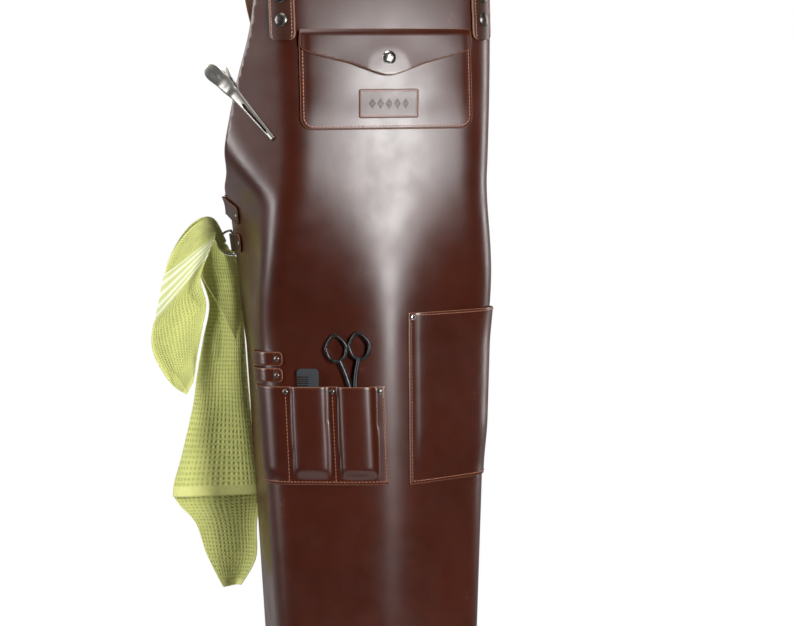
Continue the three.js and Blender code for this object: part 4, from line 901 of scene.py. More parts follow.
def centripetal(points, count):
    """Points and ways on a centripetal curve through stations, evenly in station number."""
    p = np.asarray(points, float)
    n = len(p)
    spots, numbers = [], []
    for i in range(1, count + 1):
        t = i / count * (n - 1)
        k = min(int(t), n - 2)
        f = t - k
        p1, p2 = p[k], p[k + 1]
        p0 = p[k - 1] if k > 0 else 2 * p1 - p2
        p3 = p[k + 2] if k + 2 < n else 2 * p2 - p1
        d0, d1, d2 = (math.sqrt(math.dist(*pair)) for pair in ((p0, p1), (p1, p2), (p2, p3)))
        v1 = ((p1 - p0) / d0 - (p2 - p0) / (d0 + d1) + (p2 - p1) / d1) * d1
        v2 = ((p2 - p1) / d1 - (p3 - p1) / (d1 + d2) + (p3 - p2) / d2) * d1
        spots.append((2 * p1 - 2 * p2 + v1 + v2) * f**3 + (-3 * p1 + 3 * p2 - 2 * v1 - v2) * f**2 + v1 * f + p1)
        numbers.append(t)
    return np.array(spots), np.array(numbers)


def strap_rows(side, lift, rings, across=11):
    """Rows of points across a strap's outer face from its front end to its ring, and their outward ways."""
    face = STRAP_STAND + STRAP_SHEET
    t = np.linspace(-1, 1, across)
    spots, ways = [], []
    corner = 7.0
    front = np.concatenate([STRAP_END + corner * (1 - np.cos(np.linspace(0, math.pi / 2, 7))),
        np.arange(-202, BIB_TOP, 3.5)])
    for z in front:
        cut = max(0.0, STRAP_END + corner - z)
        half = STRAP_WIDTH / 2 - corner + math.sqrt(max(corner**2 - cut**2, 0.0))
        s = side * STRAP_S + t * half
        spots.append(worn(s, z, face))
        ways.append(face_at(side * STRAP_S, z))
    ring = rings["left" if side > 0 else "right"]
    pull = ring["out"]
    ring_face = ring["face"] * (1 if ring["face"][1] > 0 else -1)
    loop_at = ring["centre"] + pull * RING_DEPTH
    reach = RING_WIRE + LOOP_SLACK + STRAP_SHEET
    start = worn(side * STRAP_S, BIB_TOP, face)
    stations = [
        (start, face_at(side * STRAP_S, BIB_TOP)),
        ((side * 119, start[1] + 26, -88), (side * 0.35, -0.85, 0.35)),
        ((side * 118, -48, -26), (side * 0.2, -0.6, 0.75)),
        ((side * 117, 0, 0), (0, 0, 1)),
        ((side * 114, 52, -30), (0, 0.65, 0.7)),
        ((side * 109, 88, -92), (0, 0.95, 0.3)),
        ((side * 98, 106, -165), (side * 0.05, 1, 0.1)),
        ((side * 68, 116, -240), (0, 1, 0)),
        ((0, CROSS_Y + lift, CROSS_Z), (0, 1, 0)),
        ((-side * 62, 111, -363), (-side * 0.25, 1, 0)),
        (loop_at + pull * 24 + ring_face * reach, ring_face),
    ]
    middle, number = centripetal([p for p, _ in stations], 150)
    faces = np.array([n for _, n in stations], float)
    ahead = unit(np.gradient(middle, axis=0))
    k = np.minimum(number.astype(int), len(stations) - 2)
    between = smooth(number - k)[:, None]
    out = faces[k] * (1 - between) + faces[k + 1] * between
    out = unit(out - ahead * (out * ahead).sum(-1, keepdims=True))
    sideways = np.cross(ahead, out)
    for centre, n, over in zip(middle, out, sideways):
        spots.append(centre + np.outer(t * STRAP_WIDTH / 2, over))
        ways.append(n)
    over = unit(np.cross(-pull, ring_face))
    for angle in np.linspace(0, math.pi, 22):
        n = ring_face * math.cos(angle) - pull * math.sin(angle)
        spots.append(loop_at + n * reach + np.outer(t * STRAP_LOOP / 2, over))
        ways.append(n)
    for step in np.linspace(0, STRAP_BACK, 8)[1:]:
        back = loop_at - ring_face * reach + pull * step
        spots.append(back + np.outer(t * STRAP_LOOP / 2, over))
        ways.append(-ring_face)
    return np.array(spots), np.array(ways)


def all_rings():
    rings = {"towel": ring_frame(-1, TOWEL_TAB_Z, 0, TOWEL_TURN)}
    for place, side in (("left", -1), ("right", 1)):
        rings[place] = ring_frame(side, REAR_TAB_Z, REAR_TILT, side * RING_TURN)
    return rings


def folded_tab(name, side, z0, tilt, material, replaced):
    """A leather tab folded round a ring's bar, gripping both faces of the hide's edge."""
    start, outer = -TAB_REACH + BAR_U, TAB_GAP + TAB_SHEET
    line = [(u, outer) for u in np.linspace(start, BAR_U - 4, 14)]
    turns = np.radians(np.linspace(85, -85, 15))
    radius = LOOP_INNER + TAB_SHEET
    line += [(BAR_U + radius * math.cos(a), BAR_D + radius * math.sin(a)) for a in turns]
    line += [(u, -HIDE - outer) for u in np.linspace(BAR_U - 4, start, 14)]
    line = np.array(line)
    ahead = unit(np.gradient(line, axis=0))
    t = np.linspace(-1, 1, 9)
    spots, ways = [], []
    length = np.concatenate([[0], np.cumsum(np.linalg.norm(np.diff(line, axis=0), axis=1))])
    corner = 9.0
    for (u, d), (au, ad), far in zip(line, ahead, length):
        end = min(far, length[-1] - far)
        cut = max(0.0, corner - end)
        half = TAB_HEIGHT / 2 - corner + math.sqrt(max(corner**2 - cut**2, 0.01))
        row = tab_point(side, z0, tilt, np.full(9, u), t * half * side, np.full(9, d))
        above = tab_point(side, z0, tilt, np.full(9, u - ad * 0.5), t * half * side, np.full(9, d + au * 0.5))
        spots.append(row)
        ways.append(unit((above - row).mean(0)))
    spots, ways = np.array(spots), np.array(ways)
    flat = np.stack([np.broadcast_to(t * TAB_HEIGHT / 2, spots.shape[:2]),
        np.broadcast_to(length[:, None], spots.shape[:2])], -1)
    return band_mesh(name, spots, ways, TAB_SHEET, flat, "apron", material, replaced)


# ---------------------------------------------------------------- hair clip
def clip_frame():
    a = math.radians(CLIP_ANGLE)
    tip = (CLIP_S + CLIP_JAW * math.cos(a), CLIP_Z - CLIP_JAW * math.sin(a))
    origin = worn(CLIP_S, CLIP_Z, -HIDE / 2)
    x = unit(worn(*tip, -HIDE / 2) - origin)
    side = worn(tip[0] + 8, tip[1] + 8, -HIDE / 2) - worn(tip[0] - 8, tip[1] - 8, -HIDE / 2)
    out = unit(np.cross(x, side))
    return origin, x, np.cross(out, x), out


def jaw_half(x):
    if x < 0:
        far = (x + CLIP_HANDLE) / CLIP_HANDLE
        end = math.sqrt(max(0.0, 1 - (1 - far / 0.42) ** 2)) if far < 0.42 else 1.0
        return CLIP_WIDE / 2 * (0.25 + 0.75 * end) * (1 - 0.14 * float(smooth(far)))
    return float(mix(CLIP_WIDE / 2 * 0.86, CLIP_TIP / 2, min(max(x / CLIP_JAW, 0), 1) ** 0.62))


def clip_jaw(name, facing, body, material, replaced):
    """One pressed jaw: dished handle with a thumb dimple, rolled flanks and, above, an open channel."""
    bpy.ops.object.select_all(action="DESELECT")
    bpy.ops.mesh.primitive_grid_add(x_subdivisions=96, y_subdivisions=20, size=2, location=(0, 0, 0))
    piece = bpy.context.object
    piece.name = name
    mesh = piece.data
    for vertex in mesh.vertices:
        run, t = (vertex.co.x + 1) / 2, vertex.co.y
        x = -CLIP_HANDLE + (CLIP_HANDLE + CLIP_JAW) * run
        half = jaw_half(x)
        hump = 1.9 * float(smooth((x + 12) / 10) * smooth((11 - x) / 8))
        rise = CLIP_SPREAD * float(smooth(-x / CLIP_HANDLE)) + hump
        arch = 1.5 * (1 - abs(t) ** 2.4) * float(smooth((x + 30) / 20))
        dimple = -1.6 * math.exp(-(((x + 19) / 6) ** 2 + (t * half / 4) ** 2))
        lip = 0.8 * abs(t) ** 6 * float(smooth((x + 10) / 10) * smooth((60 - x) / 30)) * -1
        height = HIDE / 2 + CLIP_GAP + rise + arch + dimple + lip
        vertex.co = Vector((x, -t * half * facing, height * facing)) * MM
    if facing > 0:
        bpy.ops.object.mode_set(mode="EDIT")
        bpy.ops.mesh.select_mode(type="FACE")
        bpy.ops.mesh.select_all(action="DESELECT")
        bpy.ops.object.mode_set(mode="OBJECT")
        for face in mesh.polygons:
            x, y = face.center.x / MM, face.center.y / MM
            face.select = 27 < x < 76 and abs(y) < jaw_half(x) * 0.42 * math.sqrt(max(0,
                1 - ((x - 51.5) / 24.5) ** 6))
        bpy.ops.object.mode_set(mode="EDIT")
        bpy.ops.mesh.delete(type="FACE")
        bpy.ops.object.mode_set(mode="OBJECT")
    solid = piece.modifiers.new("wall", "SOLIDIFY")
    solid.thickness, solid.offset = 1.0 * MM, 1
    bevel = piece.modifiers.new("soften", "BEVEL")
    bevel.width, bevel.segments, bevel.limit_method = 0.28 * MM, 2, "ANGLE"
    apply_modifiers(piece)
    bpy.ops.object.mode_set(mode="EDIT")
    bpy.ops.mesh.select_all(action="SELECT")
    bpy.ops.mesh.normals_make_consistent(inside=False)
    bpy.ops.object.mode_set(mode="OBJECT")
    bpy.ops.object.shade_smooth_by_angle(angle=math.radians(40))
    origin, x, across, out = clip_frame()
    piece.data.transform(frame_matrix(origin, x, across, out))
    return finish_piece(piece, body, material, replaced)


# ---------------------------------------------------------------- scissors and comb
def scissors_frame():
    out = face_at(SCISSOR_S, SCISSOR_Z)
    across = across_at(SCISSOR_S, SCISSOR_Z)
    across = turned_about(across, out, math.radians(SCISSOR_TILT))
    across = unit(across - out * np.dot(across, out))
    return worn(SCISSOR_S, SCISSOR_Z, SCISSOR_STAND), across, np.cross(out, across), out


def finger_ring(side, count=64):
    x, y, half, tall = side * 13.6, 73, 11.4, 15.2
    corners = [(0, 1), (-0.52, 0.72), (-0.98, 0.18), (-1, -0.2), (-0.72, -0.74), (0, -1)]
    corners += [(0.72, -0.74), (1, -0.2), (0.98, 0.18), (0.52, 0.72)]
    return spline([(x + half * a, y + tall * b) for a, b in corners], count, closed=True)


def scissor_half(name, side, layer, body, material, replaced):
    """A forged finger ring, its tapering shank and a bevelled blade, joined in one piece."""
    place = frame_matrix(*scissors_frame())
    depth = layer + 1.05
    ring = finger_ring(side)
    fat = 1 + 0.22 * np.clip((62 - ring[:, 1]) / 8, 0, 1)
    ring = np.column_stack([ring, np.full(len(ring), depth)])
    parts = [wire_piece(name, ring, 1.85, place, body, material, replaced, fat=fat)]
    shank = spline([(side * 11.4, 58.5), (side * 8.6, 50), (side * 5.4, 38), (side * 3.0, 24),
        (side * 1.6, 12)], 24)
    shank = np.column_stack([shank, np.full(len(shank), depth)])
    width = np.linspace(1.15, 1.35, len(shank))
    parts.append(wire_piece(name + "_shank", shank, 2.0, place, body, material,
        closed=False, fat=width))
    blade = [(side * 4.6, 16), (side * 4.9, 2), (side * 4.0, -8), (side * 2.6, -34),
        (side * 0.8, -SCISSOR_BLADE)]
    blade += [(-side * 0.8, -SCISSOR_BLADE), (-side * 4.2, -38), (-side * 5.0, -16), (-side * 4.6, 0),
        (-side * 1.6, 14)]
    parts.append(plate_piece(name + "_blade", [blade], 2.1, 0.35, place, body, material,
        lift=layer))
    bpy.ops.object.select_all(action="DESELECT")
    for part in parts:
        part.select_set(True)
    bpy.context.view_layer.objects.active = parts[0]
    bpy.ops.object.join()
    parts[0].name = name
    return parts[0]


def comb_frame():
    s, z = TOOL_RIGHT - TOOL_SEAM - 1.5 * TOOL_PITCH, COMB_TOP - 40
    out = face_at(s, z)
    across = across_at(s, z)
    across = unit(across - out * np.dot(across, out))
    up = np.cross(out, across)
    return worn(s, z, COMB_STAND) + up * 40, across, up, out


def comb_outline():
    half = COMB_WIDTH / 2
    turns = np.radians(np.linspace(0, 90, 8))
    line = [(-half, -COMB_LENGTH + 2), (-half + 2, -COMB_LENGTH), (half - 4, -COMB_LENGTH),
        (half, -COMB_LENGTH + 4)]
    line += [(half - 5 + 5 * math.cos(a), -5 + 5 * math.sin(a)) for a in turns]
    line += [(-half + 5 - 5 * math.sin(a), -5 + 5 * math.cos(a)) for a in turns]
    root, pitch = half * 0.1, 2.5
    teeth = int((COMB_LENGTH - 20) / pitch)
    for i in range(teeth):
        y = -9 - i * pitch
        line += [(-half, y), (root - 0.5, y - 0.3), (root, y - 0.65), (root - 0.5, y - 1.0), (-half, y - 1.3)]
    return line


# ---------------------------------------------------------------- towel
TOWEL_FLAT = (0.215, 0.57)


def towel_frame(rings):
    ring = rings["towel"]
    middle = ring["centre"] + ring["out"] * RING_DEPTH * 0.52
    right = unit([-ring["out"][0], -ring["out"][1], 0])
    away = np.array([-right[1], right[0], 0])
    return middle, right, away


# Each station has its left and right points (across, up, away) and the way in which the layers stack.
TOWEL_STATIONS = (
    ((-49, -178, -33), (-41, -163, -33), (0, 0, 1), 7),
    ((-64, -168, -35), (-36, -132, -35), (0, 0, 1), 10),
    ((-77, -149, -37), (-29, -98, -36), (0, 0, 1), 13),
    ((-87, -126, -38), (-24, -70, -34), (0, 0, 1), 15),
    ((-88, -104, -38), (-30, -40, -32), (0, 0, 1), 16),
    ((-82, -80, -38), (-20, -11, -24), (0, 0, 1), 15),
    ((-73, -37, -35), (-12, 8, -20), (0, 0.1, 1), 15),
    ((-61, -6, -32), (-12, 13, -15), (0, 0.2, 1), 15),
    ((-43, 19, -27), (-11, 13, -10), (0, 0.4, 1), 14),
    ((-26, 31, -20), (-10, 8, -6), (0.3, 0.4, 0.8), 11),
    ((-14, 29, -9), (-7, -4, -4), (0.8, 0.1, 0.5), 8),
    ((-5, 12, 0), (-5, -9, 0), (1, 0, 0), 5.5),
    ((-13, 22, 9), (-3, -9, 6), (0.8, 0, -0.5), 9),
    ((-26, 9, 18), (7, -15, 12), (0.3, 0, 1), 15),
    ((-34, -30, 20), (14, -32, 16), (0, 0, 1), 18),
    ((-23, -74, 22), (17, -78, 18), (0, 0, 1), 20),
    ((-31, -116, 23), (19, -118, 19), (0, 0, 1), 21),
    ((-40, -162, 24), (21, -160, 20), (0, 0, 1), 22),
    ((-46, -200, 24), (24, -204, 20), (0, 0, 1), 22),
    ((-60, -256, 24), (30, -258, 20), (0, 0, 1), 22),
    ((-73, -311, 24), (35, -308, 20), (0, 0, 1), 20),
    ((-52, -345, 26), (29, -345, 21), (0, 0, 1), 16),
    ((-42, -384, 27), (27, -388, 22), (0, 0, 1), 12),
    ((-20, -425, 27), (8, -421, 24), (0, 0, 1), 6),
)
LONG_HEM, RING_PLACE = 20, 11


def towel_points(rings, across=170, down=420):
    """One continuous sheet, pleated into three layers, gathered in the ring and hanging both sides."""
    left = np.array([s[0] for s in TOWEL_STATIONS], float)
    right = np.array([s[1] for s in TOWEL_STATIONS], float)
    stack = np.array([s[2] for s in TOWEL_STATIONS], float)
    thick = np.array([[s[3]] for s in TOWEL_STATIONS], float)
    fine = 1200
    left, right, stack, thick = (spline(a, fine) for a in (left, right, stack, thick))
    stack = unit(stack)
    last = len(TOWEL_STATIONS) - 1
    p = np.linspace(0, 3, across)[None, :]
    ends = LONG_HEM + (last - LONG_HEM) * smooth((p - 2.02) / 0.28)
    b = np.linspace(0, 1, down)[:, None] * ends
    index = b / last * (fine - 1)

    def read(table):
        flat_index = index.ravel()
        return np.stack([np.interp(flat_index, np.arange(fine),
            table[:, i]) for i in range(table.shape[1])], -1).reshape(*index.shape, -1)

    l_at, r_at, stack_at, thick_at = read(left), read(right), read(stack), read(thick)[..., 0]
    open_front = smooth((b - 13.6) / 3.6) * 0.985
    phase = np.where(p < 1, open_front + (1 - open_front) * p, p)
    q = 0.5 - 0.5 * np.cos(math.pi * phase)
    q = mix(q, np.abs((phase + 1) % 2 - 1), 0.35)
    layer = (phase / 3 - 0.5)
    near_ring = np.exp(-((b - RING_PLACE) / 2.2) ** 2)
    hang = np.clip(np.abs(b - RING_PLACE) / 6, 0, 1)
    folds = np.sin(phase * 9.5 + b * 0.32) * 0.9 + np.sin(phase * 5.2 - b * 0.55 + 1.3) * 1.0
    fine_folds = np.sin(phase * 26 + 0.8 * np.sin(b * 0.7)) * near_ring * 1.3
    wander = np.sin(b * 1.9 + phase * 2.1) * 0.8 * hang
    depth = layer * thick_at + (folds * (1.0 + 1.6 * hang) + fine_folds + wander) * smooth(b / 1.5 + 0.25)
    spot = l_at + (r_at - l_at) * q[..., None] + stack_at * depth[..., None]
    middle, rightwards, away = towel_frame(rings)
    world = middle + spot[..., :1] * rightwards + spot[..., 2:3] * away + spot[...,
        1:2] * np.array([0, 0, 1.0])
    flat = np.stack([phase / 3 * TOWEL_FLAT[0] / MM + 0 * b, b / last * 0.66 / MM], -1)
    side_hem = smooth((0.075 - np.minimum(p, 3 - p) - 0 * b) / 0.02)
    end_hem = np.maximum(smooth((0.42 - b) / 0.06), smooth((b - ends + 0.3) / 0.06))
    band = (6.15 - b) / (6.15 - 4.75)
    band = np.where((band > 0) & (band < 1), band, 0)
    return world, flat, np.maximum(side_hem, end_hem), band


def add_towel(rings, material):
    world, flat, hem, band = towel_points(rings)
    down, across = world.shape[:2]
    index = np.arange(down * across).reshape(down, across)
    quads = np.stack([index[:-1, :-1], index[1:, :-1], index[1:, 1:], index[:-1, 1:]], -1).reshape(-1, 4)
    marks = {"hem": hem.ravel(), "band": band.ravel()}
    piece = add_piece(
        "towel_cloth", world.reshape(-1, 3), quads, "towel", material, ("towel",),
        flat.reshape(-1, 2), marks,
    )
    solid = piece.modifiers.new("cloth", "SOLIDIFY")
    solid.thickness, solid.offset = 1.1 * MM, 0
    apply_modifiers(piece)
    return piece


# ---------------------------------------------------------------- settings a user would change
class ApronLooks(bpy.types.PropertyGroup):
    leather_color: FloatVectorProperty(
        name="Leather", description="Colour of the waxed hide", subtype="COLOR", size=3, min=0, max=1,
        default=(0.042, 0.0078, 0.0033),
    )
    strap_color: FloatVectorProperty(
        name="Straps", description="Colour of the strap leather", subtype="COLOR", size=3, min=0, max=1,
        default=(0.036, 0.011, 0.006),
    )
    chest_thread: FloatVectorProperty(
        name="Chest thread", description="Colour of the thread on the chest pocket", subtype="COLOR", size=3,
        min=0, max=1, default=(0.56, 0.22, 0.13),
    )
    skirt_thread: FloatVectorProperty(
        name="Skirt thread", description="Colour of the thread on the lower pockets", subtype="COLOR", size=3,
        min=0, max=1, default=(0.36, 0.12, 0.05),
    )
    stitch_pitch: FloatProperty(
        name="Stitch pitch", description="Distance from one stitch to the next", default=0.0041, min=0.002,
        max=0.01, subtype="DISTANCE", unit="LENGTH",
    )


class TowelLooks(bpy.types.PropertyGroup):
    cloth_color: FloatVectorProperty(
        name="Cotton", description="Colour of the waffle cotton", subtype="COLOR", size=3, min=0, max=1,
        default=(0.66, 0.69, 0.22),
    )


def looks():
    return bpy.context.scene.apron_looks


def hide_material():
    return shared("hide", lambda: leather("hide", looks().leather_color))


def strap_material():
    return shared("strap_hide", lambda: leather("strap_hide", looks().strap_color, 0.36))


def nickel_material():
    return shared("nickel", lambda: metal("nickel", (0.72, 0.7, 0.66), 0.16, grime=0.18))


def dark_material():
    return shared("gunmetal", lambda: metal("gunmetal", (0.17, 0.155, 0.145), 0.26, wear=0.25, grime=0.4))


def shared(name, make):
    return bpy.data.materials.get(name) or make()


class LeatherPanels(bpy.types.Operator):
    """Cut the bib and skirt, the pockets, the flap, the label and the tool loops"""

    bl_idname = "apron.leather_panels"
    bl_label = "Leather Panels"

    def execute(self, context):
        hide = hide_material()
        holes = [(s, z, 1.5) for s, z in tool_rivets() + loop_rivets() + side_rivets()]
        outline = apron_outline()
        body = cut_leather("hide_body", outline, -HIDE, HIDE, 4.0, "apron", hide,
            ("apron_body",), None, holes)
        tall = FLAP_TOP - POCKET_BOTTOM
        back = rounded(-POCKET_HALF, POCKET_BOTTOM, 2 * POCKET_HALF, tall, POCKET_CORNER, 0)
        cut_leather("pocket_backing", back, GAP, BACKING, 5, "apron", hide,
            ("chest_pocket_back",))
        front = rounded(-POCKET_HALF, POCKET_BOTTOM, 2 * POCKET_HALF, POCKET_TOP - POCKET_BOTTOM,
            POCKET_CORNER, 0, 2)
        cut_leather("pocket_front", front, POCKET_BASE, SHEET, 2.6, "apron", hide,
            ("chest_pocket",), pocket_room)
        cut_leather("pocket_flap", self.flap(), FLAP_BASE, SHEET, 2.6, "chest_flap", hide,
            ("chest_flap",), flap_room)
        patch = rounded(-LABEL_WIDTH / 2, LABEL_Z - LABEL_HEIGHT / 2, LABEL_WIDTH, LABEL_HEIGHT, 2.5, 2.5,
            1.5)
        label = label_leather("label_hide", looks().leather_color)
        cut_leather("label", patch, POCKET_FACE - 0.1, 1.1, 1.6, "apron", label,
            ("label_patch",), pocket_room)
        left, shift = TOOL_RIGHT - TOOL_SEAM * 2 - TOOL_PITCH * 3, TOOL_SLANT * TOOL_HEIGHT
        foot = TOOL_TOP - TOOL_HEIGHT
        tools = even([(left, TOOL_TOP), (left + shift, foot), (TOOL_RIGHT + shift, foot),
            (TOOL_RIGHT, TOOL_TOP)], 2)
        holes = [(s, z, 1.5) for s, z in tool_rivets()]
        cut_leather("tool_pocket_front", tools, GAP, SHEET, 2.4, "apron", hide,
            ("tool_pocket",), tool_room, holes)
        side = rounded(SIDE_LEFT, SIDE_TOP - SIDE_HEIGHT, SIDE_WIDTH, SIDE_HEIGHT, 0, 0, 2)
        holes = [(s, z, 1.5) for s, z in side_rivets()]
        cut_leather("side_pocket_front", side, GAP, SHEET, 3, "apron", hide,
            ("side_pocket",), side_room, holes)
        for place, z in zip(("upper", "lower"), LOOP_Z):
            loop = rounded(LOOP_RIGHT - LOOP_PITCH - 7, z - LOOP_HEIGHT / 2, LOOP_PITCH + 14, LOOP_HEIGHT,
                5, 5, 1.5)
            cut_leather(f"loop_{place}", loop, GAP, SHEET, 2, "apron", hide,
                (f"tool_loop_{place}",), loop_room)
        return {"FINISHED"}

    @staticmethod
    def flap():
        side, tip = FLAP_TOP - FLAP_SIDE, FLAP_TOP - FLAP_DROP
        half = [(FLAP_HALF, FLAP_TOP), (FLAP_HALF, side), (FLAP_HALF - 1.5, side - 4),
            (FLAP_HALF - 5, side - 7)]
        half += [(FLAP_HALF - 14, side - 10.5), (44, tip + 13.5), (14, tip + 2.6), (5, tip + 0.2)]
        line = [*half, *[(-s, z) for s, z in half[::-1]]]
        return even(line, 2)


class Stitching(bpy.types.Operator):
    """Sew the pockets and the label with rows of single stitches"""

    bl_idname = "apron.stitching"
    bl_label = "Stitching"

    def execute(self, context):
        chest = shared("chest_thread", lambda: thread("chest_thread", looks().chest_thread))
        skirt = shared("skirt_thread", lambda: thread("skirt_thread", looks().skirt_thread))
        pitch = looks().stitch_pitch / MM
        inset = 3.6
        half = POCKET_HALF - inset
        u_line = rounded(-half, POCKET_BOTTOM + inset, 2 * half, POCKET_TOP - POCKET_BOTTOM - inset - 2,
            POCKET_CORNER - inset, 0, 1.5)
        u_line = u_line[u_line[:, 1] < POCKET_TOP - 2.6]
        start = int(np.argmax(np.linalg.norm(np.roll(u_line, -1, 0) - u_line, axis=1)))
        u_line = np.roll(u_line, -start - 1, 0)
        leather_stitches("chest_stitches", [u_line], lambda s, z: POCKET_FACE + pocket_room(s, z), "apron",
            chest, pitch=pitch)
        edge = 2.6
        box = rounded(-LABEL_WIDTH / 2 + edge, LABEL_Z - LABEL_HEIGHT / 2 + edge, LABEL_WIDTH - 2 * edge,
            LABEL_HEIGHT - 2 * edge, 1.5, 1.5, 1)
        box = np.concatenate([box, box[:1]])
        leather_stitches("label_stitches", [box], lambda s, z: POCKET_FACE + 1 + pocket_room(s, z), "apron",
            chest, pitch=3.0, thick=0.42)
        top, foot = TOOL_TOP - 3, TOOL_TOP - TOOL_HEIGHT + 3.5

        def slanted(s, z):
            return (s + tool_shift(z), z)

        left = TOOL_RIGHT - TOOL_SEAM * 2 - TOOL_PITCH * 3
        lines = [[slanted(left + 3.5, top), slanted(left + 3.5, foot), slanted(TOOL_RIGHT - 3.5, foot),
            slanted(TOOL_RIGHT - 3.5, top)]]
        for i in (1, 2):
            s = TOOL_RIGHT - TOOL_SEAM - i * TOOL_PITCH
            lines.append([slanted(s, top - 8), slanted(s, foot)])

        def tool_face(s, z):
            return GAP + SHEET + tool_room(s, z)

        lines = [even(line, 2, False) for line in lines]
        leather_stitches("tool_stitches", lines, tool_face, "apron", skirt, pitch=pitch)
        low, high = SIDE_TOP - SIDE_HEIGHT + 3.5, SIDE_TOP - 3
        near, far = SIDE_LEFT + 3.5, SIDE_LEFT + SIDE_WIDTH - 3.5
        lines = [[(near, high - 8), (near, low), (far, low), (far, high - 8)],
            [(near + 4, high), (far - 4, high)]]

        def side_face(s, z):
            return GAP + SHEET + side_room(s, z)

        lines = [even(line, 2, False) for line in lines]
        leather_stitches("side_stitches", lines, side_face, "apron", skirt, pitch=pitch)
        return {"FINISHED"}


class Straps(bpy.types.Operator):
    """Lay both shoulder straps, their stitching and the patch where they cross"""

    bl_idname = "apron.straps"
    bl_label = "Shoulder Straps"

    def execute(self, context):
        hide, rings = strap_material(), all_rings()
        sewn = shared("chest_thread", lambda: thread("chest_thread", looks().chest_thread))
        for place, side, lift in (("left", -1, 0), ("right", 1, STRAP_SHEET + 2)):
            spots, ways = strap_rows(side, lift, rings)
            length = np.concatenate([[0], np.cumsum(np.linalg.norm(np.diff(spots[:, 5], axis=0), axis=1))])
            widths = np.linspace(-STRAP_WIDTH / 2, STRAP_WIDTH / 2, spots.shape[1])
            flat = np.stack([np.broadcast_to(widths + side * 60, spots.shape[:2]),
                np.broadcast_to(length[:, None], spots.shape[:2])], -1)
            strap = band_mesh(f"strap_{place}", spots, ways, STRAP_SHEET, flat, "apron",
                hide, (f"shoulder_strap_{place}",))
            self.sew(place, spots, ways, length, sewn)
        patch = [(x, y) for x, y in rounded(-17, -17, 34, 34, 6, 6, 1.5)]
        at = (0, CROSS_Y + STRAP_SHEET + 2 + 1, CROSS_Z)
        matrix = frame_matrix(at, (-1, 0, 0), (0, 0, 1), (0, 1, 0))
        plate_piece("cross_patch", [patch], 2, 0.5, matrix, "apron", hide,
            ("back_cross_patch",))
        return {"FINISHED"}

    @staticmethod
    def sew(place, spots, ways, length, material):
        """Two rows of stitches, one inside each edge of the strap, closed across its front end."""
        pitch, stop = 4.1, length[-1] - 75
        middles, aheads, outs = [], [], []
        for edge in (-1, 1):
            at = np.arange(4.5, stop, pitch)
            row = (edge * (STRAP_WIDTH / 2 - 3.4)) / (STRAP_WIDTH / 2)
            j = (row + 1) / 2 * (spots.shape[1] - 1)
            k, f = int(j), j - int(j)
            line = spots[:, k] * (1 - f) + spots[:, min(k + 1, spots.shape[1] - 1)] * f
            point = np.stack([np.interp(at, length, line[:, i]) for i in range(3)], -1)
            after = np.stack([np.interp(at + 1, length, line[:, i]) for i in range(3)], -1)
            n = unit(np.stack([np.interp(at, length, ways[:, i]) for i in range(3)], -1))
            ahead = unit(after - point)
            middles.append(point)
            aheads.append(ahead)
            outs.append(unit(n - ahead * (n * ahead).sum(-1, keepdims=True)))
        middle, ahead, out = (np.concatenate(x) for x in (middles, aheads, outs))
        return add_stitches(f"strap_stitches_{place}", middle, ahead, out, pitch * 0.82, "apron", material)


